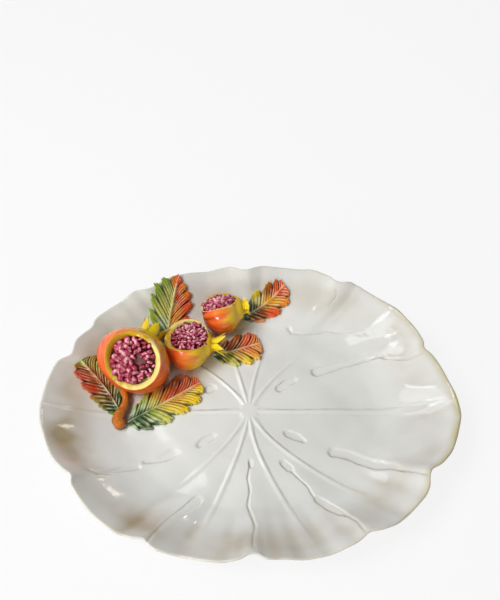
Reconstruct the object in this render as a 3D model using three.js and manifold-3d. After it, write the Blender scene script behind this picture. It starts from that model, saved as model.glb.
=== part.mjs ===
// Leaf tray: a glazed earthenware platter moulded as one split leaf, with a spray of opened
// pomegranates, leaves and a twig bonded to its back left.
// Millimetres, +Z up, +X along the platter's length, +Y to the back. The origin is on the table,
// under the hub where the leaf's veins meet.

import * as THREE from 'three';
import { ParametricGeometry } from 'three/addons/geometries/ParametricGeometry.js';
import { mergeVertices } from 'three/addons/utils/BufferGeometryUtils.js';
import Module from 'manifold-3d';

const wasm = await Module();
wasm.setup();

const DEGREE = Math.PI / 180;

// Joint left for the slip that bonds one piece to the next
const BOND = 0.3;

// Platter: the oval that its lobes follow, and its section
const TRAY_LENGTH = 410;
const TRAY_WIDTH = 334;
const RIM_HEIGHT = 40;
const FLOOR_HEIGHT = 10;
const WALL = 6;
const LIP_ROUND = 2.2;
const RUFFLE = 2.5;

// Shares of the way from hub to rim where the wall and the ruffles start, and the wall's curve
const WALL_START = 0.62;
const RUFFLE_START = 0.35;
const WALL_CURVE = 1.7;

// Foot ring under the floor
const FOOT_LENGTH = 216;
const FOOT_WIDTH = 176;
const FOOT_LAND = 7;
const FOOT_TAPER = 3;

// Hub and veins. Each vein points one way at the hub and another at the rim, in degrees, and
// fades out at its reach, a share of the way to the rim. Its lobe swells the oval by some
// millimetres. The notch after it splits the rim at an angle, to a depth.
const HUB_RADIUS = 8;
const VEIN_HEIGHT = 0.9;
const VEIN_HALF_WIDTH = 1.6;
const VEIN_SPREAD = 2;
const LOBES = [
  { hub: 0, rim: 0, reach: 0.93, swell: 2, notch: 18, depth: 18 },
  { hub: 62, rim: 39, reach: 0.5, swell: 1, notch: 55, depth: 4 },
  { hub: 84, rim: 73, reach: 0.5, swell: 4, notch: 91, depth: 8 },
  { hub: 103, rim: 110, reach: 0.5, swell: 1, notch: 129, depth: 10 },
  { hub: 128, rim: 146, reach: 0.6, swell: -6, notch: 164.5, depth: 18 },
  { hub: 180, rim: 182, reach: 0.88, swell: 0, notch: 208, depth: 12 },
  { hub: 238, rim: 223, reach: 0.6, swell: 1, notch: 237.5, depth: 3 },
  { hub: 257, rim: 253, reach: 0.85, swell: 2, notch: 271.5, depth: 8 },
  { hub: 276, rim: 292, reach: 0.93, swell: 2, notch: 306.5, depth: 4 },
  { hub: 298, rim: 320, reach: 0.8, swell: 3, notch: 333, depth: 11 },
];
const NOTCH_BROAD = 0.35;
const NOTCH_WIDTH = 0.09;

// Fruits: body round the crown's axis, opening and seeds. Headings are in plan and tilts above
// the table, in degrees. The opening's oval has a half width across and a half height along the
// fall of its slope, and the pith band lies between it and the bowl.
const FRUITS = {
  large: {
    radius: 37.5,
    halfLength: 31,
    sink: 9,
    neckRadius: 8,
    neckLength: 3,
    axis: { heading: 64, tilt: 10 },
    opening: { heading: -71, tilt: 58, halfWidth: 29, halfHeight: 32, lift: 20, pith: 6, slope: 4 },
    bowlDepth: 12,
    dome: 7,
    aril: 4.8,
    arilCount: 26,
    crown: { pointCount: 6, tube: 4, sepal: 11, flare: 7 },
  },
  medium: {
    radius: 28,
    halfLength: 23,
    sink: 8,
    neckRadius: 6,
    neckLength: 3,
    axis: { heading: -4, tilt: 3 },
    opening: { heading: 30, tilt: 71, halfWidth: 22, halfHeight: 23, lift: 11, pith: 3.5, slope: 1 },
    bowlDepth: 9,
    dome: 5,
    aril: 4.2,
    arilCount: 22,
    crown: { pointCount: 6, tube: 4, sepal: 13, flare: 8 },
  },
  small: {
    radius: 24.5,
    halfLength: 21,
    sink: 4,
    neckRadius: 6,
    neckLength: 5,
    axis: { heading: 12, tilt: 6 },
    opening: { heading: 103, tilt: 62, halfWidth: 18.5, halfHeight: 19, lift: 12, pith: 2, slope: 1 },
    bowlDepth: 7,
    dome: 8,
    aril: 3.8,
    arilCount: 20,
    crown: { pointCount: 5, tube: 3, sepal: 3, flare: 3 },
  },
};
const NECK_FLARE = 1.2;
const BOWL_SHOULDER = 0.7;
const BOWL_RISE = 0.2;

// Crowns: wall, depth of the cup, how little of the sepal is left between points, and how the
// sepals narrow and curl out
const CROWN_WALL = 1.6;
const CROWN_CUP = 0.55;
const CROWN_GAP = 0.12;
const CROWN_PINCH = 0.55;
const CROWN_CURL = 1.5;

// Where the fruits lie: the large one by angle and share of the rim, the others pressed on in turn
const LARGE_ANGLE = 160.2;
const LARGE_SHARE = 0.66;
const MEDIUM_HEADING = 27;
const SMALL_HEADING = 50;
const FRUIT_PRESS = 1;

// Leaves: heading and length in plan, half widths to the left and right of the midrib, and how far
// the blade stands up. Two of them end near the rim, in a direction from the hub.
const LEAF_THICK = 3;
const MIDRIB = 1.4;
const LEAF_ROOT = 3;
const LEAF_LOBES = 5;
const LEAF_LOBE_DEPTH = 0.2;
const LEAF_SHEAR = 0.75;
const LEAF_BELLY = 0.8;
const RIM_LEAVES = {
  upper_left_leaf: { rimAngle: 117.5, inset: 4, heading: 82, length: 66, left: 22, right: 24 },
  upper_right_leaf: { rimAngle: 75.5, inset: 16, heading: 38, length: 60, left: 20, right: 18 },
};
const LOWER_LEFT_LEAF = { heading: 131, length: 65, left: 21, right: 15 };
const LOWER_RIGHT_LEAF = { heading: 35, length: 91, left: 22, right: 24 };
const MIDDLE_LEAF = { heading: 18, length: 54, left: 19, right: 19 };

// Twig: bends in plan from the large fruit's centre, and where two leaves start beside a bend of it
const TWIG_RADIUS = 5;
const TWIG_SINK = 1.5;
const TWIG_BENDS = [[-16, -20], [-10, -32], [-12, -43], [-16, -50], [-16, -57], [-13, -63]];
const LEFT_LEAF_START = { bend: 2, aside: [1.2, -5.8] };
const RIGHT_LEAF_START = { bend: 5, aside: [7, 3] };

// Facets
const LATHE_SIDES = 20;
const TWIG_STEPS = 12;
const TWIG_SIDES = 10;
const LEAF_ROWS = 20;
const CROWN_FACETS = 4;
const MERGE = 1e-4;

const GLAZE = { roughness: 0.15, metalness: 0 };
const ivory = new THREE.MeshStandardMaterial({ color: 0xdddbd2, ...GLAZE });
const rindRed = new THREE.MeshStandardMaterial({ color: 0xd5521c, ...GLAZE });
const arilPink = new THREE.MeshStandardMaterial({ color: 0xa63a56, ...GLAZE });
const crownYellow = new THREE.MeshStandardMaterial({ color: 0xd6bd27, ...GLAZE });
const leafGreen = new THREE.MeshStandardMaterial({ color: 0x7f8c33, ...GLAZE });
const twigBrown = new THREE.MeshStandardMaterial({ color: 0xa5571d, ...GLAZE });

// Solids: closed geometry in, cut or joined, and geometry out again

function solidOf(geometry) {
  const bare = geometry.clone();
  bare.deleteAttribute('normal');
  bare.deleteAttribute('uv');
  const merged = mergeVertices(bare, MERGE);
  const corners = merged.index.array;
  const triangles = [];
  for (let at = 0; at < corners.length; at += 3) {
    const [a, b, c] = corners.slice(at, at + 3);
    if (a !== b && b !== c && c !== a) triangles.push(a, b, c);
  }
  return new wasm.Manifold(new wasm.Mesh({
    numProp: 3,
    vertProperties: new Float32Array(merged.attributes.position.array),
    triVerts: new Uint32Array(triangles),
  }));
}

function geometryOf(solid) {
  const mesh = solid.getMesh();
  const geometry = new THREE.BufferGeometry();
  geometry.setAttribute('position', new THREE.BufferAttribute(mesh.vertProperties, 3));
  geometry.setIndex(new THREE.BufferAttribute(mesh.triVerts, 1));
  geometry.computeVertexNormals();
  return geometry;
}

const cut = (solid, cutters) => cutters.reduce((left, cutter) => left.subtract(cutter), solid);

// A closed surface of rings: the columns run round the piece and the rows from one pole to the other
function closedSurface(columns, rows, at) {
  const point = (u, v, target) => target.copy(at(Math.round(u * columns) % columns, Math.round(v * rows)));
  return new ParametricGeometry(point, columns, rows);
}

function direction({ heading, tilt }) {
  const flat = Math.cos(tilt * DEGREE);
  return new THREE.Vector3(
    flat * Math.cos(heading * DEGREE),
    flat * Math.sin(heading * DEGREE),
    Math.sin(tilt * DEGREE),
  );
}

// Turns a shape made round +Y so that +Y points along an axis, keeping X level
function alongAxis(axis) {
  const side = new THREE.Vector3(0, 0, 1).cross(axis).normalize();
  return new THREE.Matrix4().makeBasis(side, axis, side.clone().cross(axis));
}

// Platter surface. A place on the leaf is its turn, which is a whole number on a vein and a half
// between veins on a notch, and its share of the way from the hub, 0, to the rim, 1.

const LOBE_COUNT = LOBES.length;
const lobeAt = (index) => LOBES[((index % LOBE_COUNT) + LOBE_COUNT) % LOBE_COUNT];

// Direction, in degrees, of the vein or notch with this number of half turns, at a share
function spokeAngle(halves, share) {
  const index = Math.floor(halves / 2);
  const around = 360 * Math.floor(index / LOBE_COUNT);
  const lobe = lobeAt(index);
  const next = lobeAt(index + 1);
  const nextHub = next.hub + (next === LOBES[0] ? 360 : 0);
  const onVein = halves % 2 === 0;
  const rim = onVein ? lobe.rim : lobe.notch;
  const hub = onVein ? lobe.hub : (lobe.hub + nextHub) / 2;
  return around + rim + (hub - rim) * (1 - Math.min(share, 1)) ** 2;
}

function angleAt(turn, share) {
  const half = Math.floor(turn * 2);
  const from = spokeAngle(half, share);
  return from + (spokeAngle(half + 1, share) - from) * (turn * 2 - half);
}

function turnAt(angle, share) {
  const degrees = ((angle % 360) + 360) % 360;
  let half = 0;
  while (spokeAngle(half + 1, share) <= degrees) half += 1;
  const from = spokeAngle(half, share);
  return (half + (degrees - from) / (spokeAngle(half + 1, share) - from)) / 2;
}

function ovalRadius(angle, length, width) {
  const along = length / 2;
  const across = width / 2;
  return along * across / Math.hypot(across * Math.cos(angle * DEGREE), along * Math.sin(angle * DEGREE));
}

// How far the rim stands out of the oval: lobes swell at the veins, and notches cut in between
function rimOffset(turn) {
  const onVein = (1 + Math.cos(2 * Math.PI * turn)) / 2;
  const notch = lobeAt(Math.floor(turn));
  const fromNotch = Math.abs(turn - Math.floor(turn) - 0.5);
  const split = NOTCH_BROAD * (1 - onVein) + (1 - NOTCH_BROAD) * Math.exp(-fromNotch / NOTCH_WIDTH);
  return lobeAt(Math.round(turn)).swell * onVein - notch.depth * split;
}

// The lobes and notches fade towards the floor with the cube of the share
function radiusAt(turn, share) {
  const oval = ovalRadius(angleAt(turn, share), TRAY_LENGTH, TRAY_WIDTH);
  return share * (oval + rimOffset(turn) * share ** 3);
}

function topHeight(turn, share) {
  const wall = Math.max(0, (share - WALL_START) / (1 - WALL_START));
  const ruffle = Math.max(0, (share - RUFFLE_START) / (1 - RUFFLE_START));
  const rise = (RIM_HEIGHT - FLOOR_HEIGHT) * wall ** WALL_CURVE;
  return FLOOR_HEIGHT + rise - RUFFLE * Math.cos(2 * Math.PI * turn) * ruffle;
}

// Height of the platter's top at a point in plan
function heightAt(x, y) {
  const angle = Math.atan2(y, x) / DEGREE;
  const radius = Math.hypot(x, y);
  let share = radius / ovalRadius(angle, TRAY_LENGTH, TRAY_WIDTH);
  let turn = turnAt(angle, share);
  for (let pass = 0; pass < 6; pass += 1) {
    share *= radius / Math.max(radiusAt(turn, share), MERGE);
    turn = turnAt(angle, share);
  }
  return topHeight(turn, share);
}

// Point of the rim in a direction, and one set in from it towards the hub
function rimPoint(angle, inset) {
  const radius = radiusAt(turnAt(angle, 1), 1) - inset;
  return [radius * Math.cos(angle * DEGREE), radius * Math.sin(angle * DEGREE)];
}

// Rows of the platter's surface, each a ring with its share and its height. The lower rows run
// from under the hub over the foot ring and up the wall, and the upper rows from the lip to the hub.

const LIP_SHARE = 1 - 2 * LIP_ROUND / TRAY_WIDTH;
const WALL_STEPS = [0.3, 0.55, 0.78];
const TOP_SHARES = [LIP_SHARE, 0.95, 0.9, 0.84, 0.77, 0.7, 0.62, 0.51, 0.39, 0.27, 0.16];

const shareOf = (share) => () => share;
const hubShare = (radius) => (angle) => radius / ovalRadius(angle, TRAY_LENGTH, TRAY_WIDTH);
const level = (height) => () => height;
const underside = (turn, share) => topHeight(turn, share) - WALL;
const lipEdge = { share: shareOf(1), height: (turn) => topHeight(turn, 1) - WALL / 2 };

function footShare(inset) {
  return (angle) => ovalRadius(angle, FOOT_LENGTH - 2 * inset, FOOT_WIDTH - 2 * inset)
    / ovalRadius(angle, TRAY_LENGTH, TRAY_WIDTH);
}

function wallShare(step) {
  return (angle) => THREE.MathUtils.lerp(footShare(0)(angle), LIP_SHARE, step);
}

const lowerRows = [
  { share: shareOf(0), height: underside },
  { share: footShare(2 * FOOT_TAPER + FOOT_LAND), height: underside },
  { share: footShare(FOOT_TAPER + FOOT_LAND), height: level(0) },
  { share: footShare(FOOT_TAPER), height: level(0) },
  { share: footShare(0), height: underside },
  ...WALL_STEPS.map((step) => ({ share: wallShare(step), height: underside })),
  { share: shareOf(LIP_SHARE), height: underside },
  lipEdge,
];

const upperRows = [
  ...TOP_SHARES.map((share) => ({ share: shareOf(share), height: topHeight, veined: true })),
  { share: hubShare(HUB_RADIUS + VEIN_HALF_WIDTH), height: topHeight, veined: true },
  { share: hubShare(HUB_RADIUS), height: level(FLOOR_HEIGHT + VEIN_HEIGHT) },
  { share: shareOf(0), height: level(FLOOR_HEIGHT + VEIN_HEIGHT) },
];

// Everything under the platter's top, well below the table, to cut seats with
const groundRows = [
  { share: shareOf(0), height: level(-RIM_HEIGHT) },
  { share: shareOf(1), height: level(-RIM_HEIGHT) },
  lipEdge,
];

// Columns of one lobe: its vein, then steps from the vein's edge to the notch, and back to the next vein
const COLUMN_STEPS = [0, 0.35, 0.65, 0.87, 1];
const LOBE_COLUMNS = 2 * COLUMN_STEPS.length;

function columnTurn(column, share) {
  const lobe = Math.floor(column / LOBE_COLUMNS);
  const place = column % LOBE_COLUMNS;
  if (place === 0) return lobe;
  const leaving = place <= COLUMN_STEPS.length;
  const vein = leaving ? lobe : lobe + 1;
  const step = COLUMN_STEPS[leaving ? place - 1 : LOBE_COLUMNS - place - 1];
  const halfAngle = Math.abs(angleAt(lobe + 0.5, share) - angleAt(vein, share)) * DEGREE;
  const halfWidth = VEIN_HALF_WIDTH * (1 + VEIN_SPREAD * share);
  const edge = Math.min(0.25, 0.5 * halfWidth / (radiusAt(vein, share) * halfAngle + MERGE));
  return vein + (leaving ? 1 : -1) * (edge + (0.5 - edge) * step);
}

function leafSurface(rows) {
  function point(column, row) {
    const { share: shareIn, height, veined } = rows[row];
    const nearShare = shareIn(angleAt(columnTurn(column, 1), 1));
    const share = shareIn(angleAt(columnTurn(column, nearShare), nearShare));
    const turn = columnTurn(column, share);
    const angle = angleAt(turn, share) * DEGREE;
    const radius = radiusAt(turn, share);
    const fade = Math.max(0, 1 - (share / lobeAt(Math.round(turn)).reach) ** 2);
    const ridge = veined && column % LOBE_COLUMNS === 0 ? VEIN_HEIGHT * fade : 0;
    return new THREE.Vector3(
      radius * Math.cos(angle),
      radius * Math.sin(angle),
      height(turn, share) + ridge,
    );
  }
  return solidOf(closedSurface(LOBE_COLUMNS * LOBE_COUNT, rows.length - 1, point));
}

// Fruit bodies: a flattened ball round the crown's axis that draws in to a short neck
function fruitBody(fruit, grow) {
  const { radius, halfLength, neckRadius, neckLength } = fruit;
  const profile = [];
  for (let tilt = -90; tilt <= 60; tilt += 15) {
    const across = (radius + grow) * Math.max(0, Math.cos(tilt * DEGREE));
    const along = (halfLength + grow) * Math.sin(tilt * DEGREE);
    profile.push(new THREE.Vector2(across, along));
  }
  const end = halfLength + neckLength + grow;
  profile.push(new THREE.Vector2(neckRadius * NECK_FLARE + grow, halfLength + grow));
  profile.push(new THREE.Vector2(neckRadius + grow, end));
  profile.push(new THREE.Vector2(0, end));
  const body = new THREE.LatheGeometry(profile, LATHE_SIDES);
  body.applyMatrix4(alongAxis(direction(fruit.axis)));
  return solidOf(body.translate(...fruit.centre));
}

// The opening's bowl: a chamfer from the pith's outer edge down to the bowl, and out past the ball
function openingShape(fruit, profile) {
  const { opening } = fruit;
  const shape = new THREE.LatheGeometry(profile.map(([x, y]) => new THREE.Vector2(x, y)), LATHE_SIDES);
  shape.scale(1, 1, opening.halfHeight / opening.halfWidth);
  shape.applyMatrix4(alongAxis(direction(opening)));
  return solidOf(shape.translate(...fruit.centre));
}

function openingCutter(fruit, inset) {
  const { halfWidth, lift, pith, slope } = fruit.opening;
  const bowl = halfWidth - pith - inset;
  const brim = lift - slope + inset;
  const floor = brim - fruit.bowlDepth;
  const beyond = 2 * fruit.radius;
  return openingShape(fruit, [
    [0, floor],
    [bowl * BOWL_SHOULDER, floor + fruit.bowlDepth * BOWL_RISE],
    [bowl, brim],
    [halfWidth - inset, lift + inset],
    [halfWidth + beyond, lift + beyond],
    [0, lift + beyond],
  ]);
}

// Seeds: a bed that domes up out of the bowl, with arils set spirally into it
function arilMass(fruit) {
  const { halfWidth, halfHeight, lift, pith, slope } = fruit.opening;
  const bowl = halfWidth - pith;
  const brim = lift - slope;
  const floor = brim - fruit.bowlDepth;
  const domeAt = (way) => brim + fruit.dome * (1 - way * way) - fruit.aril / 2;
  const domeSteps = [1, 0.8, 0.4, 0].map((way) => [bowl * way, domeAt(way)]);
  let mass = openingShape(fruit, [[0, floor], [bowl, floor], ...domeSteps]);
  const turned = alongAxis(direction(fruit.opening));
  const golden = Math.PI * (3 - Math.sqrt(5));
  for (let count = 0; count < fruit.arilCount; count += 1) {
    const way = Math.sqrt((count + 0.5) / fruit.arilCount);
    const reach = (bowl - fruit.aril) * way;
    const seed = new THREE.IcosahedronGeometry(fruit.aril, 0);
    seed.rotateY(count);
    seed.translate(
      reach * Math.cos(count * golden),
      domeAt(way),
      reach * Math.sin(count * golden) * halfHeight / halfWidth,
    );
    seed.applyMatrix4(turned);
    mass = mass.add(solidOf(seed.translate(...fruit.centre)));
  }
  return mass.intersect(openingCutter(fruit, BOND));
}

// Crown: a cup on the neck's flat end whose rim runs out into pointed sepals that flare
function crownBody(fruit) {
  const { pointCount, tube, sepal, flare } = fruit.crown;
  const columns = pointCount * CROWN_FACETS;
  const { neckRadius } = fruit;
  const start = fruit.halfLength + fruit.neckLength + BOND;
  const rows = [
    { out: 0, height: 0, axis: true },
    { out: 0, height: 0 },
    { out: 0, height: CROWN_CUP },
    { out: 0, height: 1 },
    { out: 0.5, height: 1 },
    { out: 1, height: 1 },
    { out: 1, height: 1, inside: true },
    { out: 0.5, height: 1, inside: true },
    { out: 0, height: 1, inside: true },
    { out: 0, height: CROWN_CUP, axis: true },
  ];
  function point(column, row) {
    const { out, height, axis, inside } = rows[row];
    const nearest = Math.round(column / CROWN_FACETS);
    const off = column / CROWN_FACETS - nearest;
    const star = CROWN_GAP + (1 - CROWN_GAP) * Math.abs(Math.cos(Math.PI * off));
    const angle = (nearest + off * (1 - CROWN_PINCH * out * star)) * 2 * Math.PI / pointCount;
    const spread = neckRadius + flare * (out * star) ** CROWN_CURL - (inside ? CROWN_WALL : 0);
    const radius = axis ? 0 : spread;
    const along = start + tube * height + sepal * out * star;
    return new THREE.Vector3(radius * Math.sin(angle), along, radius * Math.cos(angle));
  }
  const crown = closedSurface(columns, rows.length - 1, point);
  crown.applyMatrix4(alongAxis(direction(fruit.axis)));
  return solidOf(crown.translate(...fruit.centre));
}

// Leaf: the midrib runs from base to tip, and the side veins sweep forward to a lobed edge
function leafBody(base, { heading, length, left, right }) {
  const across = [1, 0.5, 0, -0.5, -1];
  const columns = 2 * across.length;
  const along = [Math.cos(heading * DEGREE), Math.sin(heading * DEGREE)];
  function point(column, row) {
    const top = column < across.length;
    const side = across[top ? column : columns - 1 - column];
    const way = row / LEAF_ROWS;
    const lobe = Math.abs(Math.sin(Math.PI * LEAF_LOBES * way));
    const outline = Math.sin(Math.PI * way ** LEAF_BELLY) ** LEAF_BELLY;
    const out = side * (side > 0 ? left : right) * outline * (1 - LEAF_LOBE_DEPTH * (1 - lobe));
    const forward = length * way + LEAF_SHEAR * Math.abs(out) * (1 - way);
    const x = base[0] + along[0] * forward - along[1] * out;
    const y = base[1] + along[1] * forward + along[0] * out;
    const ridge = MIDRIB * (1 - Math.abs(side)) * outline;
    const blade = top ? LEAF_THICK + ridge : -LEAF_ROOT;
    const ends = row === 0 || row === LEAF_ROWS;
    return new THREE.Vector3(x, y, heightAt(x, y) + (ends ? 0 : blade));
  }
  return solidOf(closedSurface(columns, LEAF_ROWS, point));
}

// Twig: a round stem that follows its bends along the platter
function twigBody(centre, grow) {
  const bends = TWIG_BENDS.map(([dx, dy]) => {
    const [x, y] = [centre[0] + dx, centre[1] + dy];
    return new THREE.Vector3(x, y, heightAt(x, y) + TWIG_RADIUS - TWIG_SINK);
  });
  const round = new THREE.Shape().absarc(0, 0, TWIG_RADIUS + grow, 0, 2 * Math.PI);
  return solidOf(new THREE.ExtrudeGeometry(round, {
    steps: TWIG_STEPS,
    curveSegments: TWIG_SIDES / 2,
    extrudePath: new THREE.CatmullRomCurve3(bends),
  }));
}

// Places: each fruit sinks into the platter by its seat, and the next one touches it
function seat(fruit, x, y) {
  fruit.centre = [x, y, heightAt(x, y) + fruit.radius - fruit.sink];
}

function seatBeside(fruit, other, heading, distance) {
  seat(
    fruit,
    other.centre[0] + distance * Math.cos(heading * DEGREE),
    other.centre[1] + distance * Math.sin(heading * DEGREE),
  );
}

const { large, medium, small } = FRUITS;
const [rimX, rimY] = rimPoint(LARGE_ANGLE, 0);
seat(large, rimX * LARGE_SHARE, rimY * LARGE_SHARE);
seatBeside(medium, large, MEDIUM_HEADING, large.radius + medium.halfLength - FRUIT_PRESS);
seatBeside(small, medium, SMALL_HEADING, medium.radius + small.radius + BOND);

// Assembly

const trayBody = leafSurface([...lowerRows, ...upperRows]);
const ground = leafSurface([...groundRows, ...upperRows]).translate(0, 0, BOND);
const bodies = [large, medium, small].map((fruit) => fruitBody(fruit, 0));
const grownBodies = [large, medium, small].map((fruit) => fruitBody(fruit, BOND));

const leafTray = new THREE.Group();

function addPiece(parent, name, solid, material, origin) {
  const mesh = new THREE.Mesh(geometryOf(solid.translate(...origin.map((value) => -value))), material);
  mesh.name = name;
  mesh.position.set(...origin);
  parent.add(mesh);
}

addPiece(leafTray, 'platter', trayBody, ivory, [0, 0, 0]);

const spray = new THREE.Group();
leafTray.add(spray);

Object.entries(FRUITS).forEach(([name, fruit], index) => {
  const others = grownBodies.filter((body, place) => place !== index);
  const before = grownBodies.slice(0, index);
  const rind = cut(bodies[index], [openingCutter(fruit, 0), ground, ...before]);
  const crown = cut(crownBody(fruit), [ground, ...others]);
  addPiece(spray, `${name}_rind`, rind, rindRed, fruit.centre);
  addPiece(spray, `${name}_arils`, cut(arilMass(fruit), others), arilPink, fruit.centre);
  addPiece(spray, `${name}_crown`, crown, crownYellow, fruit.centre);
});

addPiece(spray, 'twig', cut(twigBody(large.centre, 0), [ground, ...grownBodies]), twigBrown, large.centre);

const leafCutters = [ground, ...grownBodies, twigBody(large.centre, BOND)];

function addLeaf(name, base, leaf) {
  addPiece(spray, name, cut(leafBody(base, leaf), leafCutters), leafGreen, [...base, heightAt(...base)]);
}

Object.entries(RIM_LEAVES).forEach(([name, leaf]) => {
  const tip = rimPoint(leaf.rimAngle, leaf.inset);
  const base = [
    tip[0] - leaf.length * Math.cos(leaf.heading * DEGREE),
    tip[1] - leaf.length * Math.sin(leaf.heading * DEGREE),
  ];
  addLeaf(name, base, leaf);
});

function besideTwig({ bend, aside }) {
  return TWIG_BENDS[bend].map((place, axis) => large.centre[axis] + place + aside[axis]);
}

addLeaf('lower_left_leaf', besideTwig(LEFT_LEAF_START), LOWER_LEFT_LEAF);
addLeaf('lower_right_leaf', besideTwig(RIGHT_LEAF_START), LOWER_RIGHT_LEAF);

const neck = direction(medium.axis).multiplyScalar(medium.halfLength + medium.neckLength);
addLeaf('middle_leaf', [medium.centre[0] + neck.x, medium.centre[1] + neck.y], MIDDLE_LEAF);

export default leafTray;
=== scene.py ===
"""Leaf tray: a glazed earthenware platter moulded as one split leaf, with a spray of opened
pomegranates, leaves and a twig. Each piece is a surface worked out with numpy in millimetres, and
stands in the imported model's frame: +X along the platter, +Y to the back, +Z up."""

from functools import partial

import bpy
import numpy as np
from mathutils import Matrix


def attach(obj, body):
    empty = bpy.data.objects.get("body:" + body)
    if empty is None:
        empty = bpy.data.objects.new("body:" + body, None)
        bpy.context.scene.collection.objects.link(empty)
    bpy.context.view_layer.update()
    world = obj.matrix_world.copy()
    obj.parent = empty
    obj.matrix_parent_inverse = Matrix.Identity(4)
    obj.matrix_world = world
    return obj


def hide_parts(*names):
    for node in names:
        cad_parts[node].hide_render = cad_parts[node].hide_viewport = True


bl_info = {
    "name": "Leaf tray",
    "version": (1, 0, 0),
    "blender": (4, 5, 0),
    "location": "View3D > Sidebar > Leaf tray",
    "description": "Glazed leaf platter with a spray of opened pomegranates",
    "category": "Object",
}

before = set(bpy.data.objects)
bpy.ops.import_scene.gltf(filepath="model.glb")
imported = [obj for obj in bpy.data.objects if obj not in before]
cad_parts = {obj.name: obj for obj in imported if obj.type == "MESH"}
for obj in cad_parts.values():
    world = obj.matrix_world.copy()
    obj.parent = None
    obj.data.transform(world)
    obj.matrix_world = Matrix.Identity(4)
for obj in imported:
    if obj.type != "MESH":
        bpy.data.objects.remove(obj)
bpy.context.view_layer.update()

MM = 0.001
GOLDEN = np.pi * (3 - np.sqrt(5))

# Veins and notches of the leaf, a row for each lobe: the vein's direction at the hub and at the
# rim, the share of the way to the rim where it fades, and the direction of the notch after it
LOBES = np.array([
    (0, 0, 0.93, 18),
    (65, 47, 0.5, 55),
    (86, 75, 0.5, 91),
    (101, 107, 0.5, 129),
    (118, 141, 0.6, 164.5),
    (180, 182, 1.1, 208),
    (247, 228, 0.6, 237.5),
    (263, 251, 0.85, 271.5),
    (272, 292, 0.93, 306.5),
    (295, 320, 0.8, 333),
], float)
VEIN_HUB, VEIN_RIM, VEIN_REACH, NOTCH_RIM = LOBES.T

# How far the lobed rim stands out of the oval: directions in degrees and millimetres
RIM = np.array([
    (0, 0.8), (5, -3.4), (10, -6.5), (15, -9.4), (17.5, -13), (20, -7.4), (25, -3.6), (30, -1.4),
    (35, 3.2), (42.5, 3.3), (50, 6), (52.5, 4.8), (55, -1.3), (57.5, -1.8), (60, 2.5), (67.5, 7.7),
    (75, 5.3), (85, 3.3), (87.5, -0.1), (90, -4.5), (92.5, -4.3), (97.5, 2.3), (105, 0.8), (112.5, 3),
    (118, 3), (122.5, -1), (127.5, -6.2), (130, -5), (132.5, 0.2), (140, -2.4), (147.5, -2.5), (150, -3.9),
    (152.5, -9.7), (157.5, -8.5), (160, -8.7), (162.5, -11.7), (165, -14.1), (167.5, -4.6), (172.5, -2.4),
    (182.5, 0.6), (187.5, 0.1), (192.5, -2.9), (200, -3.4), (205, -7.3), (207.5, -11.2), (210, -5.4),
    (220, 0.1), (230, 2), (235, -0.1), (237.5, -3), (240, 0), (242.5, 2.2), (250, -0.1), (262.5, 0),
    (267.5, -3.3), (270, -7.8), (272.5, -7.8), (275, -3), (280, -2.6), (287.5, 0.9), (295, 1.5),
    (302.5, 0.2), (307.5, -4), (310, -0.5), (315, 2.4), (327.5, -0.2), (330, -2.6), (332.5, -8.2),
    (335, -10.6), (337.5, -4.8), (342.5, -0.7), (350, 0.8), (355, 2.9), (360, 0.8),
])
# Degrees to each side over which the corners of that table are eased
RIM_SMOOTHING = 0.9
# Folds that run up the front wall: their directions and half width in degrees
FOLDS = (230, 249, 262, 278.5, 285.5, 294, 303, 319, 327)
FOLD_WIDTH = 3
# Shares of the way to the rim where the wall and the ruffles start, and the power of the wall's rise
WALL_START, RUFFLE_START, WALL_CURVE = 0.62, 0.35, 1.7
LIP_RADIUS = 2.2
# Foot ring: its outside, the width of the land that it stands on, and the width of its flanks
FOOT_LENGTH, FOOT_WIDTH, FOOT_LAND, FOOT_TAPER = 216, 176, 7, 3
HUB_RADIUS = 9
# Veins: half width at the hub, which doubles to the rim, its swell round the hub with its reach, and the
# depth of the troughs on both sides as a share of the height
VEIN_HALF_WIDTH, VEIN_SWELL, SWELL_REACH, VEIN_TROUGH = 1.15, 2.2, 16, 0.16
# Direction in plan, away from the light, that the steeper sides of the veins face, where shade is painted
# beside them
LEE = (0.68, 0.73)
# Waves over the whole top: height and length
SOFT_WAVES = ((0.5, 74), (0.22, 31))
# Height of the wall's flutes, and of the folds at the front
FLUTE_HEIGHT, FOLD_HEIGHT = 0.35, 0.6
# How far in front of the hub the front wall's own form starts, and where it is whole
FRONT_START, FRONT_WHOLE = 0, 70
# In fold heights, how far that wall stands proud and how deep its folds are, and the directions in
# degrees where it starts to stand proud and where it does so fully
FRONT_PROUD, FOLD_DEPTH, PROUD_START, PROUD_WHOLE = 0.8, 2, 215, 235
# Pocket of painted shade on the wall by the left end: its middle and half sizes
POCKET_X, POCKET_Y, POCKET_LENGTH, POCKET_WIDTH = -185, -33, 14, 20
# How far the painted shade round the fruits reaches
FRUIT_SHADE_REACH = 14

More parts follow.
